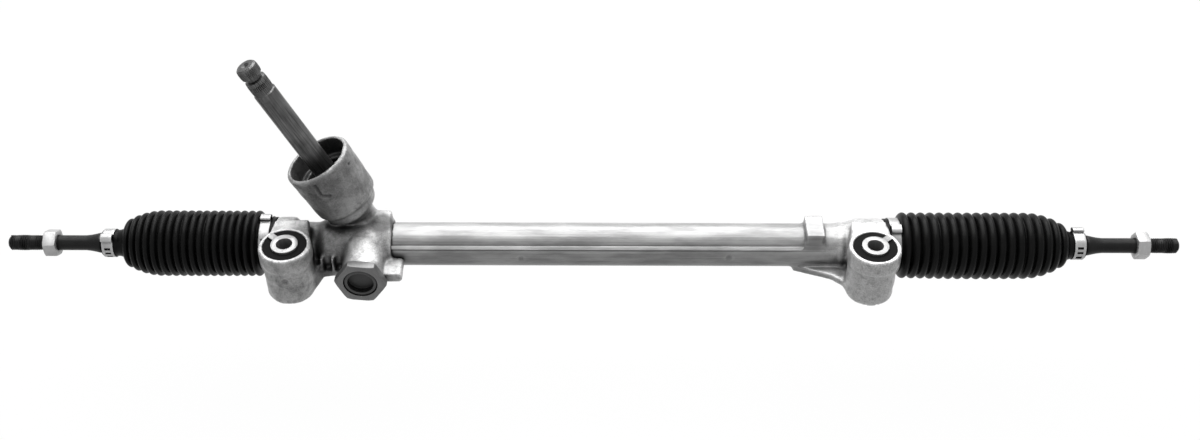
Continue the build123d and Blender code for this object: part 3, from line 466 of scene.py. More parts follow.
def merged_copy(node, name, flat_angle=0):
    """A CAD node's mesh again, its doubled corners merged and its faces within an angle joined."""
    mesh = bpy.data.meshes.new(name)
    work = bmesh.new()
    work.from_mesh(NODES[node].data)
    bmesh.ops.remove_doubles(work, verts=work.verts, dist=MERGE)
    if flat_angle:
        bmesh.ops.dissolve_limit(work, angle_limit=flat_angle, verts=work.verts, edges=work.edges)
    work.to_mesh(mesh)
    work.free()
    return mesh


def face_outwards(work):
    """Makes the faces of a tube about X look away from its axis."""
    bmesh.ops.recalc_face_normals(work, faces=work.faces)
    facing = sum(face.calc_center_median().yz.dot(face.normal.yz) for face in work.faces)
    if facing < 0:
        bmesh.ops.reverse_faces(work, faces=work.faces)


def turned_mesh(profile, steps):
    """Closed solid of revolution about X from (x, radius) points; end points lie on the axis."""
    verts, faces = [], []
    for n in range(steps):
        angle = 2 * math.pi * n / steps
        verts += [(x, r * math.cos(angle), r * math.sin(angle)) for x, r in profile]
    count = len(profile)
    for n in range(steps):
        for k in range(count - 1):
            a, b = n * count + k, ((n + 1) % steps) * count + k
            faces.append((a, a + 1, b + 1, b))
    mesh = mesh_of(verts, faces, closed=True)
    with edited(mesh) as work:
        bmesh.ops.dissolve_degenerate(work, edges=work.edges, dist=MERGE / 10)
        bmesh.ops.recalc_face_normals(work, faces=work.faces)
    return mesh


class Growth:
    """A geometry tree with named inputs, realised into one plain mesh."""

    def __init__(self, name, sizes):
        self.tree = bpy.data.node_groups.new(name, "GeometryNodeTree")
        self.inputs = {}
        for key, value in sizes.items():
            kind = "NodeSocketInt" if isinstance(value, int) else "NodeSocketFloat"
            socket = self.tree.interface.new_socket(key, in_out="INPUT", socket_type=kind)
            self.inputs[key] = (socket.identifier, value)
        self.tree.interface.new_socket("Geometry", in_out="OUTPUT", socket_type="NodeSocketGeometry")
        self.source = self.tree.nodes.new("NodeGroupInput")
        self.sink = self.tree.nodes.new("NodeGroupOutput")

    def __getitem__(self, key):
        return self.source.outputs[key]

    def add(self, kind, wires=None, **settings):
        node = self.tree.nodes.new(kind)
        for key, value in settings.items():
            setattr(node, key, value)
        for key, value in (wires or {}).items():
            self.join(value, node.inputs[key])
        return node

    def join(self, value, socket):
        if hasattr(value, "is_linked"):
            self.tree.links.new(value, socket)
        else:
            socket.default_value = value

    def math(self, operation, a, b=0.0):
        return self.add("ShaderNodeMath", {0: a, 1: b}, operation=operation).outputs[0]

    def clamp(self, value):
        return self.add("ShaderNodeClamp", {"Value": value}).outputs[0]

    def vector(self, x, y, z):
        return self.add("ShaderNodeCombineXYZ", {0: x, 1: y, 2: z}).outputs[0]

    def mesh(self, geometry, material):
        """Ends the tree, evaluates it once and returns the plain mesh."""
        real = self.add("GeometryNodeRealizeInstances", {"Geometry": geometry})
        dressed = self.add("GeometryNodeSetMaterial", {"Geometry": real.outputs[0], "Material": material})
        self.tree.links.new(dressed.outputs[0], self.sink.inputs[0])
        helper = bpy.data.objects.new("helper", bpy.data.meshes.new("empty"))
        bpy.context.collection.objects.link(helper)
        modifier = helper.modifiers.new("growth", "NODES")
        modifier.node_group = self.tree
        for identifier, value in self.inputs.values():
            modifier[identifier] = value
        with_modifiers(helper)
        result = helper.data
        bpy.data.objects.remove(helper)
        return result


def placed(mesh, matrix):
    """Moves a mesh by a matrix."""
    mesh.transform(matrix)
    mesh.update()


def moved_into(base, extra):
    """Adds one mesh's faces to another."""
    with edited(base) as work:
        work.from_mesh(extra)


# Frames with X outwards from each ball joint's centre, as the tie rods point.
BALLS = {side: Vector(joint(f"tie_rod_{side}_swing")["pos_m"]) for side in ("left", "right")}
OUTWARD = {
    "left": Matrix.Translation(BALLS["left"]) @ Matrix.Rotation(math.pi, 4, "Z"),
    "right": Matrix.Translation(BALLS["right"]),
}
OUT = {"left": -1, "right": 1}


def from_ball(side, x):
    """Distance of a row X from the ball's centre, outwards."""
    return (x - BALLS[side].x) * OUT[side]


def span_of(node, side):
    """Nearest and farthest reach of a node from the ball's centre, outwards."""
    low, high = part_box(node)
    return sorted((from_ball(side, low.x), from_ball(side, high.x)))


# --- bellows ------------------------------------------------------------------------------------
# Radii and lengths of a boot, in metres, and the two sides' differences in fit and hang.
BOOT_RADIUS = 0.0296
BOOT_END_RADIUS = 0.0155
BOOT_RIBS = 18
BOOT_RIB_DEPTH = 0.0052
RIB_ROUNDNESS = 0.5
BOOT_TAPER = 0.038
TAPER_ROUNDNESS = 0.75
BOOT_CONE = 0.006
BOOT_CONE_STEP = 0.002
BOOT_CUFF = 0.0130
BOOT_SMALL_CUFF = 0.0155
BOOT_WALL = 0.0016
BOOT_STANDOFF = {"left": 0.005, "right": 0.001}
BOOT_SAG = {"left": 0.0006, "right": 0.0024}
BOOT_SPLIT = 0.040
BOOT_STEPS = 97
BOOT_ROW = 0.0005
CUFF_RADIUS = 0.0239
SMALL_CUFF_RADIUS = 0.0119


def boot_tree(sizes):
    """Ribbed tube about X: cuff, ribs whose tips follow an envelope, cone and small cuff."""
    g = Growth("ribbed_boot", sizes)

    def add(a, b):
        return g.math("ADD", a, b)

    def less(a, b):
        return g.math("SUBTRACT", a, b)

    def times(a, b):
        return g.math("MULTIPLY", a, b)

    def over(a, b):
        return g.math("DIVIDE", a, b)

    grid = g.add("GeometryNodeMeshGrid", {"Vertices X": g["Rows"], "Vertices Y": g["Steps"]})
    index = g.add("GeometryNodeInputIndex").outputs[0]
    row = g.math("FLOOR", over(index, g["Steps"]))
    step = less(index, times(row, g["Steps"]))
    along = over(row, less(g["Rows"], 1.0))
    turn = over(times(step, 2 * math.pi), less(g["Steps"], 1.0))
    x = add(g["Start"], times(along, less(g["End"], g["Start"])))

    pitch = over(less(g["Ribs end"], g["Ribs start"]), g["Ribs"])
    phase = over(less(x, g["Ribs start"]), pitch)
    wave = g.math("ABSOLUTE", g.math("SINE", times(phase, math.pi)))
    valley = times(less(1.0, g.math("POWER", wave, RIB_ROUNDNESS)), g["Rib depth"])

    remaining = g.clamp(over(less(g["Small start"], x), g["Taper"]))
    rise = g.math("POWER", g.math("SINE", times(remaining, math.pi / 2)), TAPER_ROUNDNESS)
    tip = add(g["End radius"], times(rise, less(g["Radius"], g["End radius"])))
    ribbed = less(tip, valley)

    in_cuff = g.math("LESS_THAN", x, g["Ribs start"])
    past_ribs = g.math("GREATER_THAN", x, g["Ribs end"])
    cone_share = g.clamp(over(less(x, g["Ribs end"]), BOOT_CONE))
    cone_top = less(g["End radius"], BOOT_CONE_STEP)
    cone = add(cone_top, times(cone_share, less(g["Small radius"], cone_top)))
    middle = times(ribbed, times(less(1.0, in_cuff), less(1.0, past_ribs)))
    ends = add(times(in_cuff, g["Cuff radius"]), times(past_ribs, cone))
    radius = add(middle, ends)

    place = g.vector(x, times(radius, g.math("COSINE", turn)), times(radius, g.math("SINE", turn)))
    shaped = g.add("GeometryNodeSetPosition", {"Geometry": grid.outputs[0], "Position": place})
    return g, shaped.outputs[0]


def sagged(mesh, side, near, far):
    """Lets the under side of a boot hang a little between its cuffs."""
    for vert in mesh.vertices:
        along = (from_ball(side, vert.co.x) - near) / (far - near)
        below = max(0.0, (RACK_Z - vert.co.z) / BOOT_RADIUS)
        vert.co.z -= BOOT_SAG[side] * below * math.sin(math.pi * min(max(along, 0.0), 1.0))


def bellows(side):
    """Boot in two pieces: the ribs, and the end with the small cuff."""
    near, far = span_of(f"bellows_{side}", side)
    small = far - BOOT_SMALL_CUFF
    sizes = {
        "Ribs start": near + BOOT_CUFF, "Ribs end": small - BOOT_STANDOFF[side], "Small start": small,
        "Radius": BOOT_RADIUS, "End radius": BOOT_END_RADIUS, "Rib depth": BOOT_RIB_DEPTH,
        "Ribs": BOOT_RIBS, "Taper": BOOT_TAPER, "Cuff radius": CUFF_RADIUS,
        "Small radius": SMALL_CUFF_RADIUS, "Steps": BOOT_STEPS,
    }
    skin = FINISHES["bellows_rubber"]
    pieces = []
    for part, start, end in (("folds", near, BOOT_SPLIT), ("neck", BOOT_SPLIT, far)):
        rows = int((end - start) / BOOT_ROW) + 1
        tree, shape = boot_tree({**sizes, "Start": start, "End": end, "Rows": rows})
        mesh = tree.mesh(shape, skin)
        with edited(mesh) as work:
            bmesh.ops.remove_doubles(work, verts=work.verts, dist=MERGE)
            face_outwards(work)
        mesh = modified(mesh, [("SOLIDIFY", {"thickness": BOOT_WALL, "offset": -1.0})])
        placed(mesh, OUTWARD[side])
        sagged(mesh, side, near, small)
        pieces.append(new_piece(f"boot_{part}_{side}", mesh, skin, None, 75))
    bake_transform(pieces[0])
    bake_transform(pieces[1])
    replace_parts(pieces[0], f"bellows_{side}")
    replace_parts(pieces[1], f"bellows_{side}")


# --- castings -----------------------------------------------------------------------------------
# Cell size of each remeshed skin, and the rounds of smoothing on it and on its machined features.
CAST_VOXEL = {"gear_housing": 0.0011, "tube_housing": 0.0013}
CAST_ROUNDS = {"gear_housing": 7, "tube_housing": 4}
CRISP_ROUNDS = 1

BOSS_HALF = 0.027
BUSH_RADIUS = 0.019
CUP_RIM = 0.0948
TUBE_RADIUS = 0.0195
RACK_RADIUS = 0.0188
END_RADIUS = 0.0215
RIGHT_MOUNT_X = frame["record"]["mounts"][1]["pos_m"][0]
YOKE_X = sum(corner.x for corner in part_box("yoke")) / 2

# Machined bores and faces: reach from and to along an axis, then inner and outer radius.
BUSH_BORE = (-0.03, 0.03, 0.016, BUSH_RADIUS + 0.0011)
BOSS_FACE = (BOSS_HALF - 0.0008, 0.03, 0.0, 0.0215)
BEARING_SEAT = (CUP_RIM - 0.020, CUP_RIM + 0.001, 0.0, 0.0275)
CUP_THROAT = (0.03, CUP_RIM - 0.017, 0.0, 0.0225)
PINION_BORE = (-0.04, 0.03, 0.0, 0.0140)
CUP_FACE = (CUP_RIM - 0.0012, CUP_RIM + 0.001, 0.0, 0.0290)
YOKE_BORE = (0.0, 0.06, 0.0, 0.0162)
GEAR_RACK_BORE = (-0.04, 0.2, 0.0, RACK_RADIUS)
GEAR_END_BORE = (-0.04, -0.017, 0.0, END_RADIUS)
TUBE_RACK_BORE = (0.0, 0.7, 0.0, RACK_RADIUS)
TUBE_END_BORE = (0.5303, 0.56, 0.0, END_RADIUS)
TUBE_SLEEVE = (0.08, 0.0895, 0.0, 0.03)

# Marks on the castings: a notch along a path, and dents as place, radius and depth.
CUP_NOTCH = [(0.0292, 0.0238, 0.0735), (0.0329, 0.0241, 0.0622), (0.0405, 0.0250, 0.0616)]
NOTCH_HALF_WIDTH = 0.0016
NOTCH_DEPTH = 0.0018
CUP_PIT = ((0.0567, 0.0441, 0.0818), 0.0018, 0.0009)
BOSS_DIMPLE = ((0.0007, -0.0226, 0.0024), 0.0036, 0.0014)
EJECTOR_MARKS = [((0.2037, 0.0196, -0.0074), 0.0030, 0.0010), ((0.3899, 0.0196, -0.0055), 0.0030, 0.0010)]

# Swell of each skin: size, depth and seed of its random draws.
GEAR_SWELL = (0.014, 0.0006, 4)
TUBE_SWELL = (0.012, 0.0008, 9)
SWELL_WAVES = 10
# Along the tube the swell is slight, and it grows to the full in the cast right end.
CAST_END_START = 0.46
CAST_END_FADE = 0.03
TUBE_SWELL_SHARE = 0.06

# Parting bead: its turn up from the tube's front, and its rises above the tube's surface.
BEAD_TURN = math.radians(32)
BEAD_HALF = 0.0018
BEAD_HEIGHT = 0.0012
BEAD_CREST = 0.8
BEAD_ROOT = -0.0004
BEAD_SUNK = -0.0005
BEAD_START = 0.0885
BEAD_FADE = 0.02
BEAD_END = 0.462


def distance_to_axis(points, origin, axis):
    """Distance along and away from an axis for each point."""
    origin, axis = np.array(origin), np.array(axis) / np.linalg.norm(axis)
    offset = points - origin
    along = offset @ axis
    away = np.linalg.norm(offset - np.outer(along, axis), axis=1)
    return along, away


def about(origin, axis, *features):
    """Machined features about one axis."""
    return [(origin, axis, *feature) for feature in features]


def machined_share(points, features):
    """1 for each point of a machined bore or face, which stays crisp, and 0 for the rest."""
    share = np.zeros(len(points))
    for origin, axis, low, high, inner, outer in features:
        along, away = distance_to_axis(points, origin, axis)
        inside = (along > low) & (along < high) & (away > inner) & (away < outer)
        share[inside] = 1
    return share


def softened(node, features):
    """A housing remeshed with rounded edges and joints, and its machined features left crisp."""
    settings = {"mode": "VOXEL", "voxel_size": CAST_VOXEL[node], "use_smooth_shade": True}
    mesh = modified(merged_copy(node, node + "_skin"), [("REMESH", settings)])
    with edited(mesh) as work:
        crisp = machined_share(np.array([vert.co for vert in work.verts]), features) > 0.5
        soft = [vert for vert, keep in zip(work.verts, crisp) if not keep]
        hard = [vert for vert, keep in zip(work.verts, crisp) if keep]
        for verts, rounds in ((soft, CAST_ROUNDS[node]), (hard, CRISP_ROUNDS)):
            for _ in range(rounds):
                bmesh.ops.smooth_vert(
                    work, verts=verts, factor=0.5, use_axis_x=True, use_axis_y=True, use_axis_z=True,
                )
    return mesh


def vertex_rows(mesh, key):
    """The place or normal of each vertex, as rows of an array."""
    flat = np.zeros(len(mesh.vertices) * 3, np.float32)
    mesh.vertices.foreach_get(key, flat)
    return flat.reshape(-1, 3).astype(float)


def shifted(mesh, amounts):
    """Moves each vertex along its normal."""
    points = vertex_rows(mesh, "co") + vertex_rows(mesh, "normal") * amounts[:, None]
    mesh.vertices.foreach_set("co", points.astype(np.float32).ravel())
    mesh.update()


def wavy_skin(points, size, depth, seed):
    """Slow uneven swell of a cast skin, from waves of random direction and length."""
    rng = np.random.default_rng(seed)
    total = np.zeros(len(points))
    for _ in range(SWELL_WAVES):
        way = rng.normal(size=3)
        way /= np.linalg.norm(way)
        length = size * rng.uniform(0.7, 1.6)
        total += np.sin(points @ way * 2 * math.pi / length + rng.uniform(0, 6.3))
    return total / SWELL_WAVES * depth


def dent(points, place, radius, depth):
    """Round shallow hollow."""
    away = np.linalg.norm(points - np.array(place), axis=1)
    return -depth * np.clip(1 - (away / radius) ** 4, 0, 1)


def groove(points, path, half_width, depth):
    """Narrow groove along a path of straight runs."""
    nearest = np.full(len(points), 1.0)
    for start, end in zip(path, path[1:]):
        start, run = np.array(start), np.array(end) - np.array(start)
        along = np.clip((points - start) @ run / (run @ run), 0, 1)
        away = np.linalg.norm(points - start - along[:, None] * run, axis=1)
        nearest = np.minimum(nearest, away)
    return -depth * np.clip(1 - (nearest / half_width) ** 2, 0, 1)


def parting_bead():
    """Low bead along the front of the tube, where the die parted."""
    crest = BEAD_HALF * BEAD_CREST
    across = [(-BEAD_HALF, BEAD_ROOT), (-crest, BEAD_HEIGHT), (crest, BEAD_HEIGHT), (BEAD_HALF, BEAD_ROOT)]
    # Each station along the tube, and whether the bead still stands proud there.
    stations = [(BEAD_START, True), (BEAD_END - BEAD_FADE, True), (BEAD_END, False)]
    verts, faces = [], []
    for x, proud in stations:
        for side, rise in across:
            turn = BEAD_TURN + side / TUBE_RADIUS
            radius = TUBE_RADIUS + (rise if proud else BEAD_SUNK)
            verts.append((x, RACK_Y - radius * math.cos(turn), RACK_Z + radius * math.sin(turn)))
    count = len(across)
    for row in range(len(stations) - 1):
        for step in range(count):
            after = (step + 1) % count
            first, second = row * count, (row + 1) * count
            faces.append((first + step, first + after, second + after, second + step))
    faces.append(tuple(range(count))[::-1])
    faces.append(tuple(range((len(stations) - 1) * count, len(stations) * count)))
    bead = modified(mesh_of(verts, faces, closed=True), [("BEVEL", {"width": 0.0004, "segments": 2})])
    new_piece("parting_bead", bead, OWN_FINISHES["parting_bead"], "housing")


def gear_casting():
    """The gear housing with cast edges, ribbed pockets and small marks."""
    features = (
        about((0, 0, 0), (0, 0, 1), BUSH_BORE, BOSS_FACE)
        + about(PINION_POINT, PINION_AXIS, BEARING_SEAT, CUP_THROAT, PINION_BORE, CUP_FACE)
        + about((YOKE_X, RACK_Y, RACK_Z), (0, -1, 0), YOKE_BORE)
        + about((0, RACK_Y, RACK_Z), (1, 0, 0), GEAR_RACK_BORE, GEAR_END_BORE)
    )
    mesh = softened("gear_housing", features)
    points = vertex_rows(mesh, "co")
    amounts = wavy_skin(points, *GEAR_SWELL)
    amounts += dent(points, *BOSS_DIMPLE)
    amounts += dent(points, *CUP_PIT)
    amounts += groove(points, CUP_NOTCH, NOTCH_HALF_WIDTH, NOTCH_DEPTH)
    shifted(mesh, amounts * (1 - machined_share(points, features)))
    piece = new_piece("gear_casting", mesh, FINISHES["cast_aluminium"], "housing", 50)
    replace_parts(piece, "gear_housing")


def tube_casting():
    """The tube housing with cast edges round its right mount."""
    features = (
        about((RIGHT_MOUNT_X, 0, 0), (0, 0, 1), BUSH_BORE, BOSS_FACE)
        + about((0, RACK_Y, RACK_Z), (1, 0, 0), TUBE_RACK_BORE, TUBE_END_BORE, TUBE_SLEEVE)
    )
    mesh = softened("tube_housing", features)
    points = vertex_rows(mesh, "co")
    rough = np.clip((points[:, 0] - CAST_END_START) / CAST_END_FADE, TUBE_SWELL_SHARE, 1)
    amounts = wavy_skin(points, *TUBE_SWELL) * rough
    for mark in EJECTOR_MARKS:
        amounts += dent(points, *mark)
    shifted(mesh, amounts * (1 - machined_share(points, features)))
    piece = new_piece("tube_casting", mesh, FINISHES["tube_aluminium"], "housing", 50)
    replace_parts(piece, "tube_housing")


# --- tie rods -----------------------------------------------------------------------------------
THREAD_PITCH = 0.0015
THREAD_CREST = 0.0070
THREAD_ROOT = 0.0061
THREAD_STEPS = 36
THREAD_INSET = 0.0012
# Half widths of the thread's ridge as shares of the pitch, and its buried foot as one of its depth.
RIDGE_BASE = 0.46
RIDGE_TOP = 0.10
RIDGE_BURIED = -0.2
BALL_RADIUS = 0.0110
BALL_ARC = math.radians(150)
BALL_ARC_STEPS = 24
NECK_RADIUS = 0.0055
SHANK_RADIUS = 0.0068
SEAT_START = 0.078
SEAT_END = 0.094
SEAT_RADIUS = 0.0082
ROD_STEPS = 64
# Outlines as (x, radius): the neck from the ball's centre, the seat's edge from the seat's start,
# the flare from its end, the thread's start from the nut's outer face and the tip from the rod's end.
NECK = [(0.0120, NECK_RADIUS), (0.022, NECK_RADIUS), (0.0245, 0.0060), (0.027, SHANK_RADIUS)]
SEAT_EDGE = [(-0.003, SHANK_RADIUS), (-0.0005, 0.0080), (0.0, SEAT_RADIUS)]
FLARE = [
    (0.0, SEAT_RADIUS), (0.0003, 0.0090), (0.0009, 0.0092), (0.0025, 0.0090), (0.006, SEAT_RADIUS),
    (0.010, 0.0074), (0.015, SHANK_RADIUS),
]
THREAD_START = [(0.0004, SHANK_RADIUS), (0.0010, THREAD_ROOT)]
TIP = [(-0.0016, THREAD_ROOT), (-0.0006, 0.0054), (0.0, 0.0046), (0.0, 0.0)]


def thread_mesh(start, end, finish):
    """Helical ridge about X, with its root buried in the rod."""
    turns = (end - start) / THREAD_PITCH
    g = Growth("rolled_thread", {
        "Turns": float(turns), "Length": float(end - start), "Root": THREAD_ROOT, "Crest": THREAD_CREST,
        "Pitch": THREAD_PITCH,
    })
    path = g.add("GeometryNodeCurveSpiral", {
        "Resolution": THREAD_STEPS, "Rotations": g["Turns"], "Start Radius": g["Root"],
        "End Radius": g["Root"], "Height": g["Length"], "Reverse": False,
    })
    depth = g.math("SUBTRACT", g["Crest"], g["Root"])
    base = g.math("MULTIPLY", g["Pitch"], RIDGE_BASE)
    top = g.math("MULTIPLY", g["Pitch"], RIDGE_TOP)
    buried = g.math("MULTIPLY", depth, RIDGE_BURIED)
    section = g.add("GeometryNodeCurvePrimitiveQuadrilateral", {}, mode="POINTS")
    corners = (
        (buried, g.math("MULTIPLY", base, -1.0)), (depth, g.math("MULTIPLY", top, -1.0)),
        (depth, top), (buried, base),
    )
    for n, (out, side) in enumerate(corners):
        g.join(g.vector(out, side, 0.0), section.inputs[f"Point {n + 1}"])
    swept = g.add("GeometryNodeCurveToMesh", {
        "Curve": path.outputs[0], "Profile Curve": section.outputs[0], "Fill Caps": True,
    })
    mesh = g.mesh(swept.outputs[0], finish)
    # The spiral climbs Z: turned so that it runs along X.
    placed(mesh, Matrix.Translation((start, 0, 0)) @ Matrix.Rotation(math.pi / 2, 4, "Y"))
    return mesh


def tie_rod(side):
    """Turned rod: ball, neck, cuff seat, flare, shank and rolled thread."""
    far = span_of(f"tie_rod_{side}", side)[1]
    nut_far = span_of(f"lock_nut_{side}", side)[1]
    profile = [(-BALL_RADIUS, 0.0)]
    for n in range(1, BALL_ARC_STEPS + 1):
        angle = math.pi - n * BALL_ARC / BALL_ARC_STEPS
        profile.append((BALL_RADIUS * math.cos(angle), BALL_RADIUS * math.sin(angle)))
    stretches = [
        (0.0, NECK), (SEAT_START, SEAT_EDGE), (SEAT_END, FLARE), (nut_far, THREAD_START), (far, TIP),
    ]
    for begin, outline in stretches:
        profile += [(begin + x, radius) for x, radius in outline]
    mesh = turned_mesh(profile, ROD_STEPS)
    finish = FINISHES["black_rod"]
    moved_into(mesh, thread_mesh(nut_far + THREAD_INSET, far - THREAD_INSET, finish))
    placed(mesh, OUTWARD[side])
    piece = new_piece(f"rod_{side}", mesh, finish, f"tie_rod_{side}", 35)
    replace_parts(piece, f"tie_rod_{side}")


# --- clamps -------------------------------------------------------------------------------------
BAND_THICKNESS = 0.0008
BAND_BEVEL = 0.00018
BAND_STEPS = 96
BAND_MERGE = 1e-7
RIM_SHARE = 0.24

# The pinched ear, as shares of its width and height, and the sweep of its loop in degrees.
EAR_THROAT = 0.36
EAR_BULGE = 1.25
EAR_MIDDLE = 0.60
EAR_ROUND = 0.42
EAR_SWEEP_START = -50
EAR_SWEEP = 280
EAR_POINTS = 25

# Each clamp's sizes, and its windows as spans of steps round the band. On the left, the windows are
# mirrored and turned back by left_skew steps.
CLAMPS = {
    "large": {
        "radius": CUFF_RADIUS + 0.00006, "ear_turn": math.radians(-14), "ear_width": 0.0085,
        "ear_height": 0.0040, "windows": [(70, 74), (80, 84)], "left_skew": 0,
    },
    "small": {
        "radius": SMALL_CUFF_RADIUS + 0.0002, "ear_turn": math.radians(30), "ear_width": 0.0070,
        "ear_height": 0.0038, "windows": [(58, 63), (67, 70), (73, 76)], "left_skew": 13,
    },
}


def ear_path(radius, ear_turn, ear_width, ear_height):
    """Closed path of (y, z) round a band, with a pinched loop standing at ear_turn from the top."""
    path = []
    half = math.asin(ear_width / 2 / radius)
    for n in range(BAND_STEPS + 1):
        angle = half + (2 * math.pi - 2 * half) * n / BAND_STEPS
        path.append((radius * math.sin(angle), radius * math.cos(angle)))
    throat = ear_width * EAR_THROAT
    for share in np.linspace(0, 1, EAR_POINTS):
        sweep = math.radians(EAR_SWEEP_START + EAR_SWEEP * share)
        y = -throat * EAR_BULGE * math.cos(sweep)
        z = radius + ear_height * EAR_MIDDLE + ear_height * EAR_ROUND * math.sin(sweep)
        path.append((y, z))
    sine, cosine = math.sin(ear_turn), math.cos(ear_turn)
    return [(y * cosine + z * sine, -y * sine + z * cosine) for y, z in path]


def band_mesh(path, low, high, windows):
    """Steel strip that follows the path, open where it has a window, with a real thickness."""
    edge = (high - low) * RIM_SHARE
    columns = [low, low + edge, high - edge, high]
    verts = [(x, y, z) for y, z in path for x in columns]
    faces = []
    count, width = len(path), len(columns)
    for n in range(count):
        for k in range(width - 1):
            if k == 1 and any(start <= n < end for start, end in windows):
                continue
            a, b = n * width + k, ((n + 1) % count) * width + k
            faces.append((a, b, b + 1, a + 1))
    mesh = mesh_of(verts, faces, merge=BAND_MERGE)
    with edited(mesh) as work:
        face_outwards(work)
    return modified(mesh, [
        ("SOLIDIFY", {"thickness": BAND_THICKNESS, "offset": 1.0, "use_even_offset": True}),
        ("BEVEL", {
            "width": BAND_BEVEL, "segments": 2, "limit_method": "ANGLE", "angle_limit": math.radians(50),
        }),
    ])


def clamp(kind, side):
    """Ear clamp with its lap windows and pinched ear, placed on its cuff."""
    node = f"{kind}_clamp_{side}"
    body = "housing" if kind == "large" else f"tie_rod_{side}"
    near, far = span_of(node, side)
    sizes = CLAMPS[kind]
    windows = sizes["windows"]
    if side == "left":
        last = BAND_STEPS - sizes["left_skew"]
        windows = [(last - end, last - start) for start, end in windows]
    path = ear_path(sizes["radius"], sizes["ear_turn"], sizes["ear_width"], sizes["ear_height"])
    mesh = band_mesh(path, near, far, windows)
    placed(mesh, OUTWARD[side])
    piece = new_piece(f"band_{kind}_{side}", mesh, FINISHES["zinc_steel"], body, 45)
    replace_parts(piece, node)


# --- input shaft --------------------------------------------------------------------------------
EDGE_BREAK = 0.0004
FLAT_ANGLE = math.radians(0.5)
SHARP_ANGLE = math.radians(35)
BROKEN_EDGES = {
    "yoke_lock_nut": "yoke_nut_body", "yoke_plug": "yoke_plug_body", "foot_cap": "foot_cap_body",
    "bush_sleeve_left": "bolt_sleeve_left", "bush_sleeve_right": "bolt_sleeve_right",
    "lock_nut_left": "hex_nut_left", "lock_nut_right": "hex_nut_right",
}


def break_edges(node, name):
    """A turned or hexagonal piece again, with its sharp edges broken."""
    mesh = merged_copy(node, name, FLAT_ANGLE)
    settings = {"width": EDGE_BREAK, "segments": 2, "limit_method": "ANGLE", "angle_limit": SHARP_ANGLE}
    mesh = modified(mesh, [("BEVEL", settings)])
    record = next(part for part in frame["record"]["subparts"] if part["node"] == node)
    finish = OWN_FINISHES.get(node, FINISHES[record["material_slot"]])
    body = node if node in frame["record"]["behaviour"]["bodies"] else "housing"
    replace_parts(new_piece(name, mesh, finish, body, 35), node)


SPLINES = 36
SPLINE_RADIUS = 0.00895
SPLINE_HEIGHT = 0.00045
SPLINE_WIDTH = 0.0007
SPLINE_CREST = 0.4
# Stretches of the shaft, from the pinion's point along its axis.
SPLINE_LANDS = {"upper": (0.1945, 0.2018), "lower": (0.1770, 0.1885)}


def serrations():
    """Fine splines round the two lands that the column's joint clamps."""
    shaft = Matrix.Translation(PINION_POINT) @ PINION_AXIS.to_track_quat("Z", "Y").to_matrix().to_4x4()
    for name, (low, high) in SPLINE_LANDS.items():
        g = Growth(f"serrations_{name}", {
            "Count": SPLINES, "Radius": SPLINE_RADIUS, "Length": float(high - low),
            "Height": SPLINE_HEIGHT, "Width": SPLINE_WIDTH,
        })
        ring = g.add("GeometryNodeMeshCircle", {"Vertices": g["Count"], "Radius": g["Radius"]})
        tooth = g.add("GeometryNodeMeshCone", {
            "Vertices": 4, "Radius Top": g.math("MULTIPLY", g["Width"], SPLINE_CREST),
            "Radius Bottom": g["Width"], "Depth": g["Height"],
        })
        lying = g.add("GeometryNodeTransform", {
            "Geometry": tooth.outputs[0], "Rotation": (0.0, math.pi / 2, 0.0),
        })
        stretch = g.math("DIVIDE", g["Length"], g.math("MULTIPLY", g["Width"], 1.5))
        stretched = g.add("GeometryNodeTransform", {
            "Geometry": lying.outputs[0], "Scale": g.vector(1.0, 1.0, stretch),
        })
        step = g.math("DIVIDE", 2 * math.pi, g["Count"])
        angle = g.math("MULTIPLY", g.add("GeometryNodeInputIndex").outputs[0], step)
        teeth = g.add("GeometryNodeInstanceOnPoints", {
            "Points": ring.outputs[0], "Instance": stretched.outputs[0],
            "Rotation": g.vector(0.0, 0.0, angle),
        })
        mesh = g.mesh(teeth.outputs[0], FINISHES["dark_steel"])
        placed(mesh, shaft @ Matrix.Translation((0, 0, (low + high) / 2)))
        new_piece(f"splines_{name}", mesh, FINISHES["dark_steel"], "pinion", 30)


# --- camera, floor and light --------------------------------------------------------------------
CAMERA_LIFT = math.radians(41.454)
CAMERA_ROLL = math.radians(0.161)
CAMERA_DISTANCE = 1.2467
CAMERA_TARGET = Vector((0.2744, RACK_Y, RACK_Z + 0.0292))
CAMERA_LENS = 41.92
SENSOR_WIDTH = 36

FLOOR_DROP = 0.12
FLOOR_REACH = 6
FLOOR_GREY = 0.35
FLOOR_GLOW = 1.04
FLOOR_GLOW_SHARE = 0.93
STUDIO_GLOW = 0.07

LIGHT_TARGET = (0.26, 0.03, 0.0)
# Each lamp: place, width and height, and watts.
LAMPS = {
    "rear_softbox": ((0.25, 1.45, 1.35), (2.6, 0.8), 40),
    "overhead_softbox": ((0.25, 0.4, 1.6), (2.6, 1.1), 42),
    "front_fill": ((-0.3, -1.8, 0.8), (1.6, 0.8), 1.5),
}


def add_camera():
    """Camera above the front, looking down at the rack and turned a hair about its line of sight."""
    data = bpy.data.cameras.new("camera")
    data.lens = CAMERA_LENS
    data.sensor_width = SENSOR_WIDTH
    camera = bpy.data.objects.new("camera", data)
    bpy.context.collection.objects.link(camera)
    ahead = Vector((0, math.cos(CAMERA_LIFT), -math.sin(CAMERA_LIFT)))
    up = Vector((0, math.sin(CAMERA_LIFT), math.cos(CAMERA_LIFT)))
    side = Vector((1, 0, 0))
    right = side * math.cos(CAMERA_ROLL) + up * math.sin(CAMERA_ROLL)
    top = up * math.cos(CAMERA_ROLL) - side * math.sin(CAMERA_ROLL)
    turn = Matrix((right, top, -ahead)).transposed().to_4x4()
    camera.matrix_world = Matrix.Translation(CAMERA_TARGET - ahead * CAMERA_DISTANCE) @ turn
    bpy.context.scene.camera = camera


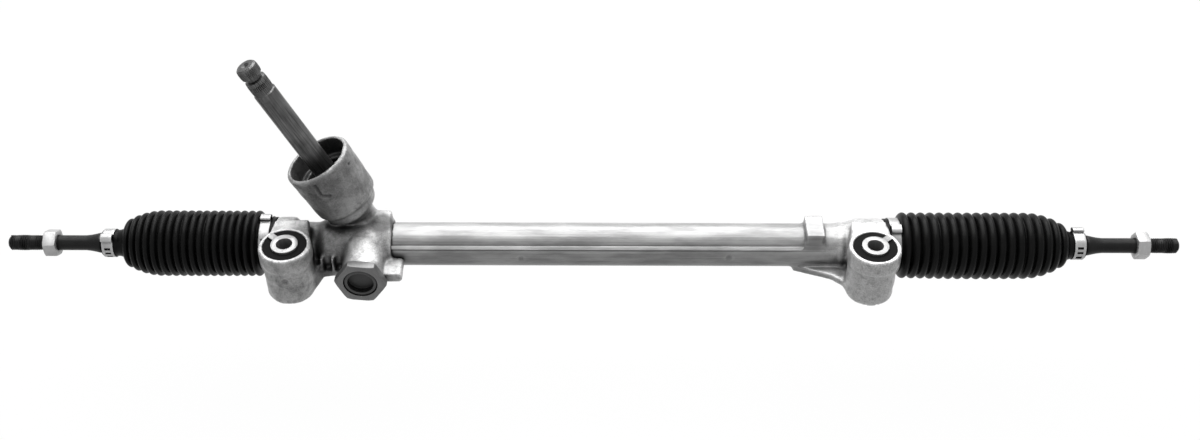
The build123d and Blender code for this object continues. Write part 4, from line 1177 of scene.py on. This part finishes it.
def seen_directly(tree):
    """1 for what the camera, a reflection or a see-through surface shows."""
    path = tree.nodes.new("ShaderNodeLightPath")
    total = path.outputs["Is Camera Ray"]
    for ray in ("Is Glossy Ray", "Is Transmission Ray"):
        either = tree.nodes.new("ShaderNodeMath")
        either.operation = "MAXIMUM"
        tree.links.new(total, either.inputs[0])
        tree.links.new(path.outputs[ray], either.inputs[1])
        total = either.outputs[0]
    return total


def show_instead(tree, share, usual, shown, target):
    """Mixes what lights the part with what is seen directly."""
    mixer = tree.nodes.new("ShaderNodeMixShader")
    tree.links.new(share, mixer.inputs["Fac"])
    tree.links.new(usual.outputs[0], mixer.inputs[1])
    tree.links.new(shown.outputs[0], mixer.inputs[2])
    tree.links.new(mixer.outputs[0], target.inputs["Surface"])


def add_floor():
    """Wide white sweep under the part, seen as white and still taking its shadow."""
    low = CAD_BOX[0][2] - FLOOR_DROP
    mesh = bpy.data.meshes.new("floor")
    corners = [(x * FLOOR_REACH, y * FLOOR_REACH, low) for x, y in ((-1, -1), (1, -1), (1, 1), (-1, 1))]
    mesh.from_pydata(corners, [], [(0, 1, 2, 3)])
    floor = bpy.data.objects.new("floor", mesh)
    bpy.context.collection.objects.link(floor)
    material = bpy.data.materials.new("floor_white")
    material.use_nodes = True
    tree = material.node_tree
    surface = tree.nodes["Principled BSDF"]
    surface.inputs["Base Color"].default_value = (FLOOR_GREY, FLOOR_GREY, FLOOR_GREY, 1)
    surface.inputs["Roughness"].default_value = 0.9
    glow = tree.nodes.new("ShaderNodeEmission")
    glow.inputs["Strength"].default_value = FLOOR_GLOW
    share = tree.nodes.new("ShaderNodeMath")
    share.operation = "MULTIPLY"
    share.inputs[1].default_value = FLOOR_GLOW_SHARE
    tree.links.new(seen_directly(tree), share.inputs[0])
    show_instead(tree, share.outputs[0], surface, glow, tree.nodes["Material Output"])
    mesh.materials.append(material)


def add_lamp(name, place, size, watts):
    """Soft lamp that faces the part."""
    data = bpy.data.lights.new(name, "AREA")
    data.shape = "RECTANGLE"
    data.size, data.size_y = size
    data.energy = watts
    lamp = bpy.data.objects.new(name, data)
    lamp.location = place
    lamp.rotation_euler = (Vector(LIGHT_TARGET) - Vector(place)).to_track_quat("-Z", "Y").to_euler()
    bpy.context.collection.objects.link(lamp)


def light_scene():
    """Soft lamps in a dim white studio that is seen as white."""
    for name, (place, size, watts) in LAMPS.items():
        add_lamp(name, place, size, watts)
    world = bpy.data.worlds.new("studio")
    bpy.context.scene.world = world
    world.use_nodes = True
    tree = world.node_tree
    studio = tree.nodes["Background"]
    seen = tree.nodes.new("ShaderNodeBackground")
    for background, strength in ((studio, STUDIO_GLOW), (seen, 1.0)):
        background.inputs["Color"].default_value = (1, 1, 1, 1)
        background.inputs["Strength"].default_value = strength
    show_instead(tree, seen_directly(tree), studio, seen, tree.nodes["World Output"])
    bpy.context.scene.view_settings.view_transform = "Standard"


add_camera()
dress_cad_nodes()
gear_casting()
tube_casting()
parting_bead()
serrations()
for node, name in BROKEN_EDGES.items():
    break_edges(node, name)
for side in ("left", "right"):
    bellows(side)
    tie_rod(side)
    clamp("large", side)
    clamp("small", side)
add_floor()
light_scene()
